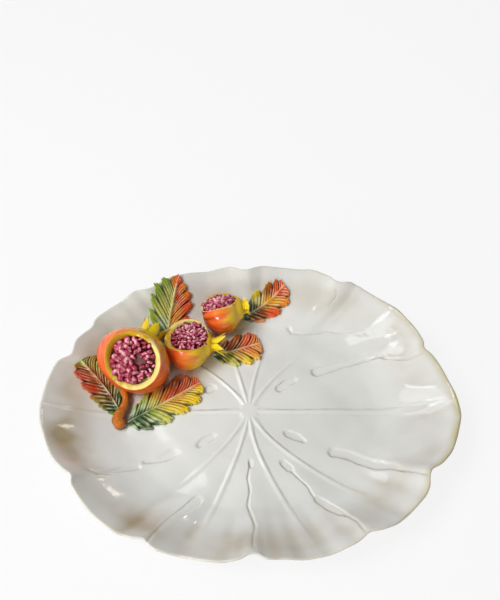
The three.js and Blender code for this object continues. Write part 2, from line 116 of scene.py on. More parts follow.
# Sunken slots along the leaf's splits: the notch that each belongs to, if any, its depth as a share of
# SLOT_DEPTH, and points with the slot's radius there
SLOTS = [
    (0, 1.0, [(32, 27, 4.1), (39, 33, 4.7), (47, 37, 2.9)]),
    (0, 1.1, [(71, 47, 5.1), (82, 51, 4.7), (100, 57, 4.3), (118, 61, 3.8), (135, 63, 3.2),
        (142, 61, 1.7)]),
    (0, 0.7, [(142, 58, 0.9), (150, 55, 0.9), (164, 51, 0.9), (177, 53, 0.9)]),
    (None, 0.6, [(43, 105, 1.7), (46, 98, 1.1), (59, 96, 0.9), (74, 98, 0.9), (85, 100, 0.8),
        (102, 96, 0.7)]),
    (None, 0.3, [(102, 96, 0.7), (122, 92, 0.8), (138, 88, 0.8), (155, 87, 1.2)]),
    (1, 0.7, [(88, 125, 0.9), (92, 128, 1.1), (96, 132, 1.1), (95, 138, 1.1)]),
    (4, 1.0, [(-39, 28, 4.3), (-42, 26, 4.3)]),
    (5, 1.0, [(-36, -29, 3.1), (-43, -33, 4.1), (-49, -39, 3.1)]),
    (5, 0.8, [(-74, -47, 4.7), (-81, -52, 4.5), (-90, -56, 2.6), (-101, -58, 2.0)]),
    (5, 0.9, [(-108, -64, 3.0), (-119, -67, 2.8), (-128, -70, 2.1), (-134, -74, 1.5), (-142, -76, 1.1),
        (-150, -74, 0.9)]),
    (6, 0.8, [(-49, -98, 5.0), (-57, -106, 4.4), (-67, -116, 3.4), (-76, -126, 2.4), (-82, -135, 1.5),
        (-85, -141, 1.1), (-88, -149, 1.1)]),
    (7, 1.2, [(1, -57, 1.9), (2, -62, 1.7)]),
    (7, 0.9, [(1, -62, 1.0), (0, -67, 1.0), (-1, -76, 0.9), (1, -87, 0.9), (0, -95, 1.0), (-1, -103, 1.1),
        (3, -115, 1.1), (6, -125, 1.1), (4, -138, 1.1), (4, -151, 1.1)]),
    (8, 1.0, [(34, -59, 3.9), (39, -64, 4.0), (42, -68, 1.4)]),
    (8, 0.9, [(42, -68, 1.2), (49, -76, 1.0), (56, -83, 1.0), (61, -93, 1.0)]),
    (8, 1.1, [(65, -97, 3.6), (74, -105, 4.6), (84, -113, 3.6), (89, -117, 1.5)]),
    (8, 0.7, [(89, -117, 0.9), (97, -125, 0.9), (102, -138, 1.1)]),
    (9, 1.0, [(39, -26, 3.9), (46, -29, 4.3), (54, -34, 2.3)]),
    (9, 1.1, [(83, -47, 5.1), (96, -50, 4.7), (109, -56, 5.1), (123, -63, 5.0), (137, -66, 3.8),
        (147, -74, 1.6)]),
    (9, 0.7, [(147, -74, 0.9), (156, -79, 0.9), (163, -84, 1.1)]),
]
SLOT_DEPTH = 1.3
# Width over which a slot's side falls
SLOT_EDGE = 1.5
# How far a slot's edge wanders, and the length of its waves
SLOT_WANDER, SLOT_WAVES = 0.4, 11
# Direction in plan, to the front left, of the slots' edges whose walls face away from the light: painted
# shade lies there
SLOT_SHADE_SIDE = (-0.7, -0.7)

# Fruits: centre, ball radius across the crown's axis and half length along it, the neck's radius and
# length, and the crown's axis, a heading and a tilt in degrees. An opening has its own axis, and the
# lip's distance from it to the right, down the slope, to the left and up it. The bowl for the seeds has
# half sizes across and down the slope, is shifted in the opening, and starts below a slope of pith. The
# seeds lie on a dome over its depth. They have a size and a number, get finer to the right, are painted
# paler towards the middle as painted light, and leave out a hollow, with its place, half sizes and depth.
# The rind is yellow past a share of the way to the crown, and no riper than a limit; past 0.95 its russet
# is painted shade far from the crown. The pith is painted cream on its lit side, the direction in plan
# called cream, and gold on its shaded side, with some change in glaze thickness, and lip_rind is how far
# the rind's colour covers it at the back right.
FRUITS = {
    "large": dict(
        centre=(-116.6, 41.2, 39.656), radius=38, half_length=30, neck=(14, 3), axis=(67, 0),
        opening=(-79, 58), lip=(27.6, 29.5, 26.6, 28.3), bowl=(22.3, 23.3), shift=(1, 0.2), slope=3, depth=10,
        dome=5, seed=4.5, seeds=66, finer=0.42, pale=0, hollow=(3, 2, 5, 10, 4),
        yellow_from=0.8, ripest=0.95, cream=(0.75, -0.66), lip_rind=0),
    "medium": dict(
        centre=(-64.4, 69.8, 30.118), radius=28, half_length=24, neck=(7.5, 3), axis=(-4, 3),
        opening=(85, 71), lip=(23, 23.3, 22.5, 26.5), bowl=(19, 21), shift=(-2.5, -1), slope=1, depth=8,
        dome=3, seed=2.6, seeds=84, finer=0, pale=0.45, hollow=(0, 0, 5, 5, 0),
        yellow_from=0.5, ripest=1.15, cream=(0.3, 0.95), lip_rind=0.65),
    "small": dict(
        centre=(-30.2, 111.2, 30.585), radius=24.5, half_length=21, neck=(9, 4), axis=(12, 6),
        opening=(113, 60), lip=(20, 20.5, 20, 21), bowl=(18, 18), shift=(0, 0), slope=0.8, depth=7,
        dome=4.5, seed=3.0, seeds=54, finer=0, pale=0.4, hollow=(0, 0, 5, 5, 0),
        yellow_from=0.42, ripest=1.5, cream=(-0.6, -0.8), lip_rind=0),
}
# Height of the pith's crest, and how far the rinds are pressed into the platter
PITH_CREST, RIND_SINK = 0.7, 1.2
# Seeds: stretch along them, out of their bed and across, and the power that squares off their ball
SEED_STRETCH, SEED_POWER = (1.22, 1.1, 0.92), 0.92

# Crowns: share of the sepals' length for each and the turn of the first one, radius at the neck, length
# of the cup and of the sepals beyond it, how far they flare, how high the valleys between them stand,
# the power of their sides, below 1 for slim ones, and how far they narrow to their tips
CROWNS = {
    "large": dict(
        lengths=(1.1, 1.3, 0.95, 0.72, 1, 1), turn=0.5, radius=12, tube=7, sepal=11, flare=2,
        valley=0.05, slim=0.8, pinch=0.5),
    "medium": dict(
        lengths=(1.1, 1, 0.9, 1.15, 0.9, 0.95), turn=0, radius=7.5, tube=5, sepal=9.5, flare=6,
        valley=0.1, slim=0.85, pinch=0.1),
    "small": dict(
        lengths=(1.1, 1, 0.9, 1.15, 0.9), turn=0, radius=8.6, tube=4, sepal=2, flare=1.6,
        valley=0.4, slim=1.15, pinch=0),
}
CROWN_WALL = 2.2

# Leaves: base, heading and length in plan, half widths to the left and right of the midrib, how far
# the midrib bows to the left, how far the tip lifts, and the powers of the outline towards its base
# and tip. On the left and right, the veins lean forward by one slope at the base and another at the
# tip, and the splits run back to places on the midrib. Dabs of each glaze lie at shares of the length
# and of the half width, left of the midrib being above 0.
LEAVES = {
    "upper_left_leaf": dict(
        base=(-91, 72.4), heading=80.3, length=84, half=(24.5, 20.5), bow=0.05, lift=4, powers=(0.58, 1.4),
        lean=((0.5, 1.35), (1.5, 1.8)), cuts=((0.17, 0.285, 0.387, 0.53, 0.743), (0.23, 0.4, 0.59, 0.794)),
        dabs=dict(
            forest=[(0, 0), (0.1, 0), (0.16, 0), (0.25, 0.35)],
            leaf=[(0.38, 0.8), (0.66, 0.8), (0.76, 0.5), (0.86, 0.32)],
            lime=[(0.51, 0.4), (0.61, 0.15), (0.76, 0.15)],
            mint_highlight=[(0.38, 0.3)],
            orange=[(0.94, 0.14), (0.53, -0.35), (0.81, -0.35)],
            red=[(0.97, 0), (0.87, -0.05), (0.74, -0.2), (0.67, -0.55), (0.49, -0.85)],
            amber=[(0.37, -0.35), (0.36, -0.75)],
            olive=[(0.23, -0.2)],
        )),
    "lower_left_leaf": dict(
        base=(-128.668, -6.365), heading=130, length=68, half=(19.5, 18),
        bow=-0.26, lift=1.5, powers=(0.5, 0.6),
        lean=((0.5, 0.8), (0.55, 1.8)), cuts=((0.1, 0.22, 0.36, 0.56, 0.8), (0.12, 0.3, 0.48, 0.66, 0.83)),
        dabs=dict(
            forest=[(0, 0), (0.14, 0.2), (0.24, 0.3), (0.33, -0.6), (0.2, -0.4), (0.08, -0.4)],
            leaf=[(0.08, 0.25), (1, 0.05)],
            umber=[(0.36, 0.1), (0.5, 0)],
            olive=[(0.39, 0.5), (0.95, -0.3), (0.85, -0.8), (0.74, -0.6), (0.47, -0.6)],
            rust=[(0.58, 0.5), (0.79, 0.5)],
            brown=[(0.66, 0.15), (0.88, 0.15), (0.6, -0.5)],
            lime=[(0.25, -0.9)],
        )),
    "upper_right_leaf": dict(
        base=(-8.114, 114.505), heading=38, length=60, half=(16, 18), bow=-0.2, lift=1.5, powers=(0.35, 0.6),
        lean=((0.7, 1.0), (0.45, 0.95)), cuts=((0.1, 0.37, 0.62, 0.8), (0.04, 0.2, 0.48, 0.75)),
        dabs=dict(
            forest=[(0, 0), (0.18, 0.55), (0.26, 0.2), (0.03, -0.4), (0.02, -0.8)],
            olive=[(0.27, 0.85)],
            yellow=[(0.5, 0.8)],
            cream=[(0.45, 0.4)],
            brown=[(0.7, 0.5), (0.34, -0.4), (0.18, -0.5)],
            amber=[(0.6, 0.12), (0.71, -0.35)],
            red=[(0.81, 0.18), (0.93, -0.1), (0.52, -0.7)],
            orange=[(0.78, -0.6), (0.27, -0.9)],
        )),
    "lower_right_leaf": dict(
        base=(-123.2, -14.5), heading=33.5, length=87, half=(22, 23.5),
        bow=-0.06, lift=0.5, powers=(0.33, 0.65),
        lean=((0.9, 1.35), (0.2, 0.95)), cuts=((0.07, 0.2, 0.37, 0.58, 0.77), (0.05, 0.17, 0.36, 0.53, 0.76)),
        dabs=dict(
            forest=[(0, 0), (0.05, 0.3), (0.1, -0.12), (0.14, -0.5), (0.2, -0.2), (0.2, 0.1),
                (0.24, -0.75)],
            mint_highlight=[(0.12, 0.3), (0.07, -0.35), (0.29, 0.35), (0.27, -0.48)],
            leaf=[(0.25, 0.6), (0.32, -0.3)],
            lime=[(0.38, 0.4), (0.4, -0.4), (0.45, -0.75)],
            amber=[(0.47, 0.5), (0.64, -0.12)],
            orange=[(0.56, 0.45)],
            brown=[(0.68, 0.7)],
            red=[(0.62, 0.26), (0.8, 0.33), (0.94, 0.1)],
            yellow=[(0.93, -0.28), (0.83, -0.47), (0.66, -0.62), (0.55, -0.4)],
        )),
    "middle_leaf": dict(
        base=(-38.952, 67.636), heading=18, length=54, half=(19, 22),
        bow=-0.14, lift=0.5, powers=(0.35, 0.65),
        lean=((0.9, 1.2), (0.4, 0.8)), cuts=((0.14, 0.37, 0.6, 0.78), (0.06, 0.28, 0.48, 0.72)),
        dabs=dict(
            forest=[(0, 0), (0.11, -0.23)],
            olive=[(0.16, -0.55)],
            leaf=[(0.31, -0.3)],
            cream=[(0.39, -0.5)],
            lime=[(0.41, -0.75)],
            amber=[(0.5, -0.38), (0.64, -0.47)],
            yellow=[(0.62, -0.72)],
            brown=[(0.36, 0.2), (0.43, 0.6), (0.6, 0.65), (0.53, 0.3)],
            red=[(0.73, 0.4), (0.69, 0.07)],
            orange=[(0.77, -0.3), (0.93, 0)],
        )),
}
# Distance along the midrib between the engraved lines
LEAF_LINE_GAP = 4.2
# Pale dabs, mint and cream, that paint highlights weigh less where they flow into others
HIGHLIGHT_DABS = {"mint_highlight": 0.4, "cream": 0.5}
# How far a dab reaches, as shares of the leaf's length and of its half width
DAB_LENGTH, DAB_WIDTH = 0.13, 0.3
# How far the splits and the teeth cut in, as shares of the half width
SPLIT_CUT, TOOTH_CUT = 0.36, 0.08
# Half width of the midrib, place, half width and depth of the trough beside it, and swell of the lobes
RIB_WIDTH, TROUGH_PLACE, TROUGH_WIDTH, TROUGH_DEPTH, LOBE_SWELL = 1.1, 3, 1.6, 0.8, 1.7

# Points in plan along the twig, from the large fruit to its cut end
TWIG_POINTS = [(-130.5, 23), (-125.5, 12), (-127, 1), (-130.5, -8), (-131, -13.5), (-128.5, -17.5)]
# How far its start is raised, and the length of its rounded ends as shares of its radius
TWIG_RISE, TWIG_ENDS = 3, (0.5, 0.9)

# Studio sweep in metres: radius of its flat floor and of its bend, height of its wall, and the gap
# between its floor and the foot ring
SWEEP_FLAT, SWEEP_BEND, SWEEP_HEIGHT, FLOOR_GAP = 3.0, 1.2, 3.6, 0.0004
# Share of the paper's own glow in what the camera sees of it
PAPER_GLOW = 0.9

# Point that the camera and the lamps look at, in metres
AIM = (0, 0, 0.01)
# Light from all round: its tint and strength
ROOM_TINT, ROOM_STRENGTH = (1, 0.94, 0.86, 1), 0.14
# Softboxes, whose power is a setting, and panes of light that glint in the glaze: place and size in
# metres, tint, and the panes' power in watts
KEY = ((-0.95, -0.3, 1.4), (0.7, 0.7), (0.98, 0.99, 1))
FILL = ((-0.75, -1.4, 0.6), (0.55, 0.32), (1, 0.97, 0.92))
PANES = {
    "window_pane": ((-0.75, 0.7, 1.55), (0.7, 0.5), (0.88, 0.94, 1), 4.2),
    "front_left_pane": ((-0.95, -0.9, 1.0), (0.07, 0.1), (0.97, 0.99, 1), 0.7),
    "back_left_pane": ((-0.8, 0.29, 1.48), (0.14, 0.24), (0.78, 0.87, 1), 0.9),
    "back_right_lamp": ((0.53, 1.08, 1.0), (0.08, 0.13), (1, 0.92, 0.74), 0.4),
}

# Camera: its distance in metres and height in degrees, and, in pixels of a photo so high, its focal
# length and how far its view is shifted to the right and up
CAMERA_DISTANCE, CAMERA_RAISED = 0.668, 60
PHOTO_HEIGHT, FOCAL_LENGTH, SHIFT_RIGHT, SHIFT_UP = 600, 656, 1, 111
# Width of its sensor in millimetres
SENSOR = 36


def linear(code):
    """Linear RGBA of an sRGB hex colour."""
    value = np.array([int(code[at:at + 2], 16) for at in (0, 2, 4)]) / 255
    low, high = value / 12.92, ((value + 0.055) / 1.055) ** 2.4
    return (*np.where(value <= 0.04045, low, high).tolist(), 1.0)


def length(name, description, millimetres):
    """A length that the user can change."""
    return bpy.props.FloatProperty(
        name=name, description=description, default=millimetres * MM, min=0, precision=4, unit="LENGTH")


def colour(name, description, code):
    """A glaze colour that the user can change."""
    return bpy.props.FloatVectorProperty(
        name=name, description=description, default=linear(code), size=4, min=0, max=1, subtype="COLOR")


class PlatterSettings(bpy.types.PropertyGroup):
    """Sizes and colours of the platter."""

    tray_length: length("Length", "Length of the oval that the lobes follow", 410)
    tray_width: length("Width", "Width of the oval that the lobes follow", 334)
    rim_height: length("Rim height", "Height of the rim above the table", 40)
    floor_height: length("Floor height", "Height of the floor's top above the table", 10)
    wall: length("Wall", "Thickness of the body", 6)
    ruffle: length("Ruffle", "How far the rim waves up and down", 2.5)
    vein: length("Vein", "Height of the veins and the hub", 0.95)
    ivory: colour("Ivory", "Glaze over most of the platter", "e3e3df")
    # Pooled also paints shade beside the veins and slots and round the fruits
    pooled: colour("Pooled", "Glaze that pooled in the slots and along the veins", "b3a680")
    # Beige paints shade on the steep wall, most at the front left, with some thin glaze
    beige: colour("Beige", "Glaze where it thins on the steep wall", "a89878")
    # Honey also paints a little shade on the lip all round
    honey: colour("Honey", "Thin glaze over the clay along the rim", "bdb183")
    clay: colour("Clay", "Bare clay on the foot ring", "c9b79a")


class FruitSettings(bpy.types.PropertyGroup):
    """Colours of the fruits."""

    red: colour("Rind red", "Blush on the rinds", "ea6028")
    # Russet is painted shade on the rind far from the crown, most on the small fruit
    russet_shade: colour("Rind russet", "Darkest blush, far from the crown", "8c2c0e")
    orange: colour("Rind orange", "Rinds between blush and crown", "f29236")
    yellow: colour("Rind yellow", "Rinds near the crown", "f2c806")
    # Gold and cream paint the pith's shade and light, with some change in glaze thickness
    gold: colour("Pith gold", "Pith where the glaze is thick", "d8a80f")
    cream: colour("Pith cream", "Pith where the glaze is thin", "f1de86")
    # Crimson, rose and blush paint shade and light on the seeds: crimson low down and between them, blush on
    # their tops
    crimson: colour("Aril crimson", "Glaze between the seeds", "560a16")
    rose: colour("Aril rose", "Sides of the seeds", "b03654")
    blush: colour("Aril blush", "Tops of the seeds", "eeb8be")
    hollow: colour("Aril hollow", "Bare bed in the middle of the large fruit", "6d2722")
    lemon: colour("Crown yellow", "Crowns", "eccc14")
    moss: colour("Crown olive", "Folds of the crowns", "8f8410")


class LeafSettings(bpy.types.PropertyGroup):
    """Sizes and colours of the leaves."""

    thickness: length("Thickness", "How far a leaf stands up from the platter", 3)
    midrib: length("Midrib", "Height of the midrib over the blade", 1.4)
    groove: length("Groove", "Depth of the engraved side veins", 0.9)
    forest: colour("Forest", "Dark green at the base", "2c5230")
    leaf: colour("Leaf", "Leaf green", "84a02e")
    lime: colour("Lime", "Pale green", "b9bd5a")
    # Mint and cream dabs paint highlights on the leaves
    mint_highlight: colour("Mint", "Pale green where the white slip shows through", "a9c29a")
    cream: colour("Cream", "Yellow where the white slip shows through", "ecd98a")
    amber: colour("Amber", "Yellow orange", "d99a1c")
    olive: colour("Olive", "Yellow brown green", "8a7a2c")
    yellow: colour("Yellow", "Yellow", "e0bc18")
    orange: colour("Orange", "Orange", "dc7a14")
    red: colour("Red", "Orange red", "dc4a22")
    brown: colour("Brown", "Red brown", "93440f")
    rust: colour("Rust", "Dark red", "b8402a")
    umber: colour("Umber", "Dark brown", "5a3416")
    straw: colour("Straw", "Warm light in the mottled glaze", "fff3b3")
    slip: colour("Slip", "White slip under thin glaze on the ridges", "f1e5bc")
    shade: colour("Shade", "Glaze that filled the engraved lines", "272412")


class TwigSettings(bpy.types.PropertyGroup):
    """Size and colours of the twig."""

    radius: length("Radius", "Radius of the stem", 5)
    sink: length("Sink", "How far the stem is pressed into the platter", 1.5)
    # Umber is painted shade on the stem's underside, amber its lit top
    amber: colour("Amber", "Thin glaze on the ridges", "bc6a1c")
    umber: colour("Umber", "Thick glaze in the hollows", "542608")


class StageSettings(bpy.types.PropertyGroup):
    """Floor and light."""

    floor: colour("Floor", "Paper that the platter stands on", "fafafa")
    key_watts: bpy.props.FloatProperty(
        name="Key", description="Power of the softbox overhead", default=20, min=0)
    fill_watts: bpy.props.FloatProperty(
        name="Fill", description="Power of the softbox in front", default=9.5, min=0)


# Meshes

def skin(rings, attributes=None):
    """A closed surface of rings, whose first and last rings are poles: a fan of triangles round
    each pole and quads between. Attributes have a value at each point of the rings."""
    rows, columns = rings.shape[:2]

    def flat(values):
        return np.concatenate([values[:1, 0], values[1:-1].reshape(-1, *values.shape[2:]), values[-1:, 0]])

    ring = 1 + np.arange((rows - 2) * columns).reshape(rows - 2, columns)
    after = np.roll(ring, -1, axis=1)
    quads = np.stack([ring[:-1], after[:-1], after[1:], ring[1:]], -1).reshape(-1, 4)
    last = (rows - 2) * columns + 1
    fans = np.concatenate([
        np.stack([np.zeros(columns, int), after[0], ring[0]], -1),
        np.stack([np.full(columns, last), ring[-1], after[-1]], -1),
    ])
    return flat(rings), quads, fans, {name: flat(values) for name, values in (attributes or {}).items()}


def outward(points, quads, fans):
    """The faces, turned round if the volume that they enclose comes out negative."""
    triangles = np.concatenate([quads[:, :3], quads[:, [0, 2, 3]], fans])
    a, b, c = (points[triangles[:, corner]] for corner in range(3))
    if np.einsum("ij,ij->", a, np.cross(b, c)) < 0:
        return quads[:, ::-1], fans[:, ::-1]
    return quads, fans


def add_piece(node, skins, material):
    """One object of closed skins that stands for a CAD node and rides with its body."""
    points, faces, values, start = [], [], {}, 0
    for skin_points, quads, fans, attributes in skins:
        quads, fans = outward(skin_points, quads, fans)
        points.append(skin_points)
        faces += (quads + start).tolist() + (fans + start).tolist()
        for name, value in attributes.items():
            values.setdefault(name, []).append(value)
        start += len(skin_points)
    mesh = bpy.data.meshes.new(f"{node}_glazed")
    mesh.from_pydata((np.concatenate(points) * MM).tolist(), [], faces)
    kinds = {1: ("FLOAT", "value"), 2: ("FLOAT_VECTOR", "vector")}
    for name, parts in values.items():
        value = np.concatenate(parts)
        kind, field = ("FLOAT_COLOR", "color") if value.shape[1:] == (4,) else kinds[value.ndim]
        attribute = mesh.attributes.new(name, kind, "POINT")
        attribute.data.foreach_set(field, np.ascontiguousarray(value, np.float32).ravel())
    mesh.polygons.foreach_set("use_smooth", np.ones(len(mesh.polygons), bool))
    if mesh.validate():
        raise RuntimeError(f"the surface of {node} has bad faces")
    mesh.materials.append(material)
    piece = bpy.data.objects.new(f"{node}_glazed", mesh)
    bpy.context.scene.collection.objects.link(piece)
    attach(piece, "root")
    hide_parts(node)
    return piece


# Materials. A Mix node on colours has its factor at socket 0, its colours at 6 and 7 and its result at 2.

COLOURS = dict(data_type="RGBA")
SMOOTH = dict(interpolation_type="SMOOTHSTEP")
GLAZE_IOR = 1.47


def per_mm(size):
    """Texture scale on coordinates in metres for features of a size in millimetres."""
    return 1 / (size * MM)


def add_node(tree, kind, inputs=(), **settings):
    """The outputs of a new shader node with its settings. Inputs, by socket or in the sockets' order,
    are values or the outputs of other nodes."""
    node = tree.nodes.new(f"ShaderNode{kind}")
    for name, value in settings.items():
        setattr(node, name, value)
    for socket, value in inputs.items() if isinstance(inputs, dict) else enumerate(inputs):
        if isinstance(value, bpy.types.NodeSocket):
            tree.links.new(value, node.inputs[socket])
        else:
            node.inputs[socket].default_value = value
    return node.outputs


def new_material(name):
    """An empty material, and the function that adds a node to it."""
    material = bpy.data.materials.new(name)
    material.use_nodes = True
    material.node_tree.nodes.clear()
    return material, partial(add_node, material.node_tree)


def patches(node, place, size, low, high, to_low, to_high, detail=2):
    """Uneven patches of a size in millimetres: noise whose low to high becomes another range."""
    cloud = node("TexNoise", {"Vector": place, "Scale": per_mm(size), "Detail": detail})["Fac"]
    return node("MapRange", (cloud, low, high, to_low, to_high), **SMOOTH)[0]


def laid_over(node, base, glaze, level, low, high, most=1):
    """A glaze laid over a base: its share rises to the most that shows as a level goes from low to high."""
    share = node("MapRange", (level, low, high, 0, most), **SMOOTH)[0]
    return node("Mix", {0: share, 6: base, 7: glaze}, **COLOURS)[2]


def fire(node, place, body, roughness, ripple):
    """The clear glossy skin of a fired glaze over its colour, with ripples about 7 mm long that bend
    the reflections in it."""
    waved = node("TexNoise", {"Vector": place, "Scale": per_mm(7)})["Fac"]
    bump = node("Bump", {"Strength": ripple, "Distance": 0.4 * MM, "Height": waved})["Normal"]
    shader = node("BsdfPrincipled", {
        "Base Color": body, "Roughness": roughness, "IOR": GLAZE_IOR, "Normal": bump})["BSDF"]
    node("OutputMaterial", {"Surface": shader})


# Platter surface. A place on the leaf is its turn, a whole number on a vein and a half more on the
# notch after it, and its share of the way from the hub, 0, to the rim, 1.

SHARES = np.linspace(0, 1, 201)


def oval(angle, along, across):
    """Radius of an oval in a direction in degrees."""
    radians = np.radians(angle)
    return 0.5 * along * across / np.hypot(across * np.cos(radians), along * np.sin(radians))


def eased(value, low, high):
    """0 up to low, 1 from high on and smooth between, or the other way round where high is below low."""
    way = np.clip((value - low) / (high - low), 0, 1)
    return way * way * (3 - 2 * way)


def rim_offset(angle):
    """How far the rim stands out of the oval in directions in degrees, with the corners eased: the
    mean of the table's straight lines over a few near directions."""
    near = RIM_SMOOTHING * np.array([-1, -0.5, 0, 0.5, 1])
    return sum(np.interp((angle + step) % 360, RIM[:, 0], RIM[:, 1]) for step in near) / len(near)


def spoke_table(tray):
    """Directions of the veins and notches in turn, a row for each of SHARES. A vein bends from its
    hub direction to its rim direction with the square of the share left, and a notch passes through
    the points of its slots."""
    left = (1 - SHARES) ** 2
    middle = (VEIN_HUB + np.append(VEIN_HUB[1:], 360)) / 2
    spokes = np.empty((len(SHARES), 2 * len(LOBES) + 1))
    spokes[:, 0:-1:2] = VEIN_RIM + np.outer(left, VEIN_HUB - VEIN_RIM)
    spokes[:, 1::2] = NOTCH_RIM + np.outer(left, middle - NOTCH_RIM)
    spokes[:, -1] = 360
    for notch, rim_angle in enumerate(NOTCH_RIM):
        paths = [path for index, _, path in SLOTS if index == notch]
        if not paths:
            continue
        x, y = np.concatenate(paths)[:, :2].T
        angle = rim_angle + (np.degrees(np.arctan2(y, x)) - rim_angle + 180) % 360 - 180
        across = oval(angle, tray.length, tray.width)
        share = np.hypot(x, y) / across
        for _ in range(6):
            share = np.hypot(x, y) / (across + rim_offset(rim_angle) * share ** 3)
        kept = np.flatnonzero((share > 0.05) & (share < 0.95))
        kept = kept[np.argsort(share[kept])]
        along = np.concatenate([[0], share[kept], [1]])
        turned = np.concatenate([[middle[notch]], angle[kept], [rim_angle]])
        spokes[:, 2 * notch + 1] = np.interp(SHARES, along, turned)
    window = np.hanning(31)
    padded = np.pad(spokes, ((15, 15), (0, 0)), "reflect", reflect_type="odd")
    return np.stack([np.convolve(column, window / window.sum(), "valid") for column in padded.T], 1)


class Tray:
    """The platter's top as a surface of turn and share, in millimetres."""

    def __init__(self, settings):
        self.length = settings.tray_length / MM
        self.width = settings.tray_width / MM
        self.rim = settings.rim_height / MM
        self.floor = settings.floor_height / MM
        self.ruffle = settings.ruffle / MM
        self.spokes = spoke_table(self)

    def near_row(self, share):
        """The row of spokes below a share, and how far the share lies towards the next."""
        row = np.clip(share, 0, 1) * (len(SHARES) - 1)
        low = np.minimum(row.astype(int), len(SHARES) - 2)
        return low, row - low

    def angle(self, turn, share):
        """Direction in degrees: even steps from each vein or notch to the next."""
        half = np.floor(2 * turn).astype(int)
        low, part = self.near_row(share)
        start, end = (
            self.spokes[low, spoke] + part * (self.spokes[low + 1, spoke] - self.spokes[low, spoke])
            for spoke in (half, half + 1))
        return start + (end - start) * (2 * turn - half)

    def turn(self, angle, share):
        """The turn in a direction, from the spokes on both sides of it."""
        low, part = self.near_row(share)
        spokes = self.spokes[low] + part[:, None] * (self.spokes[low + 1] - self.spokes[low])
        half = np.clip((spokes <= angle[:, None]).sum(1) - 1, 0, 2 * len(LOBES) - 1)
        at = np.arange(len(angle))
        return (half + (angle - spokes[at, half]) / (spokes[at, half + 1] - spokes[at, half])) / 2

    def radius(self, turn, share):
        """The oval's radius with lobes and notches that fade towards the floor."""
        lobed = rim_offset(self.angle(turn, np.ones_like(share)))
        return share * (oval(self.angle(turn, share), self.length, self.width) + lobed * share ** 3)

    def top(self, turn, share):
        """Height: a flat floor, a wall that rises with a power of the share, and ruffles."""
        wall = np.maximum(0, (share - WALL_START) / (1 - WALL_START)) ** WALL_CURVE
        ruffle = np.maximum(0, (share - RUFFLE_START) / (1 - RUFFLE_START))
        return self.floor + (self.rim - self.floor) * wall - self.ruffle * np.cos(2 * np.pi * turn) * ruffle

    def height(self, x, y):
        """Height of the top at points in plan, by closing in on their turn and share."""
        shape = x.shape
        radius = np.hypot(x, y).ravel()
        angle = np.degrees(np.arctan2(y, x)).ravel() % 360
        share = radius / oval(angle, self.length, self.width)
        turn = self.turn(angle, share)
        for _ in range(8):
            share = share * radius / np.maximum(self.radius(turn, np.minimum(share, 1.05)), 1e-6)
            share = np.minimum(share, 1.05)
            turn = self.turn(angle, share)
        return self.top(turn, share).reshape(shape)


def slot_distance(x, y, path):
    """Distance to a slot's edge, negative inside, and how far that edge lies to the front left: the
    least over its strokes of the distance to the stroke's line, less the radius there."""
    best, lean = np.full(x.shape, 1e3), np.zeros(x.shape)
    for (ax, ay, a_radius), (bx, by, b_radius) in zip(path, path[1:]):
        ux, uy = bx - ax, by - ay
        along = np.clip(((x - ax) * ux + (y - ay) * uy) / (ux * ux + uy * uy), 0, 1)
        dx, dy = x - ax - along * ux, y - ay - along * uy
        reach = np.hypot(dx, dy)
        distance = reach - a_radius - along * (b_radius - a_radius)
        leftward = (SLOT_SHADE_SIDE[0] * dx + SLOT_SHADE_SIDE[1] * dy) / np.maximum(reach, 0.3)
        lean = np.where(distance < best, leftward, lean)
        best = np.minimum(best, distance)
    return best, lean


def waves(x, y, size):
    """A soft hand-made unevenness from -1 to 1: three crossing sine waves of about a size."""
    k = 2 * np.pi / size
    return (np.sin(k * (x + 0.35 * y) + 1.3) + np.sin(k * (0.8 * y - 0.5 * x) + 0.4)
            + np.sin(k * 1.37 * (0.6 * x + 0.7 * y) + 2.1)) / 3


def column_turns():
    """Turns of the platter's columns: close together along veins and notches, and wider between."""
    half = np.concatenate([
        np.linspace(0, 0.14, 8)[:-1], np.linspace(0.14, 0.58, 8)[:-1], np.linspace(0.58, 1, 19)])
    lobe = np.concatenate([half[:-1] / 2, 1 - half[:0:-1] / 2])
    return (np.arange(len(LOBES))[:, None] + lobe).ravel()


def platter_rows(tray, turn):
    """The platter's rows from the hub over the round lip and back under, by way of the foot ring, to the
    middle: their share of the way to the rim, how many half walls they lie below the top, and how far
    they drop to the table, as a share of their height."""
    lip = 1 - 2 * LIP_RADIUS / tray.width
    angle = tray.angle(turn, np.full_like(turn, 0.5))

    def foot(inset):
        ring = oval(angle, FOOT_LENGTH - 2 * inset, FOOT_WIDTH - 2 * inset)
        return ring / oval(angle, tray.length, tray.width)

    hub = [0, 0.012, 0.024, 0.034, 0.042, 0.05, 0.058]
    upper = np.concatenate([hub, np.linspace(0.07, 0.9, 97), np.linspace(0.91, lip, 9)])[:, None]
    bend = np.radians([65, 35, 0, -35, -65])[:, None]
    under = foot(0) + (lip - foot(0)) * np.linspace(1, 0.04, 8)[:, None]
    inside = FOOT_TAPER + FOOT_LAND
    insets = (0, 0.8, FOOT_TAPER - 0.6, FOOT_TAPER + 0.4, inside - 0.4, inside + 0.6,
              inside + FOOT_TAPER - 0.8, inside + FOOT_TAPER)
    drops = np.array([0, 0.12, 0.95, 1, 1, 0.95, 0.12, 0])[:, None]
    rows = [
        (upper, 0, 0),
        (lip + (1 - lip) * np.cos(bend), 1 - np.sin(bend), 0),
        (under, 2, 0),
        (np.concatenate([foot(inset) for inset in insets]), 2, drops),
        (np.array([[0.3], [0]]), 2, 0),
    ]

    def whole(part):
        return np.concatenate([row[part] + np.zeros((len(row[0]), turn.size)) for row in rows])

    return whole(0), whole(1), whole(2)


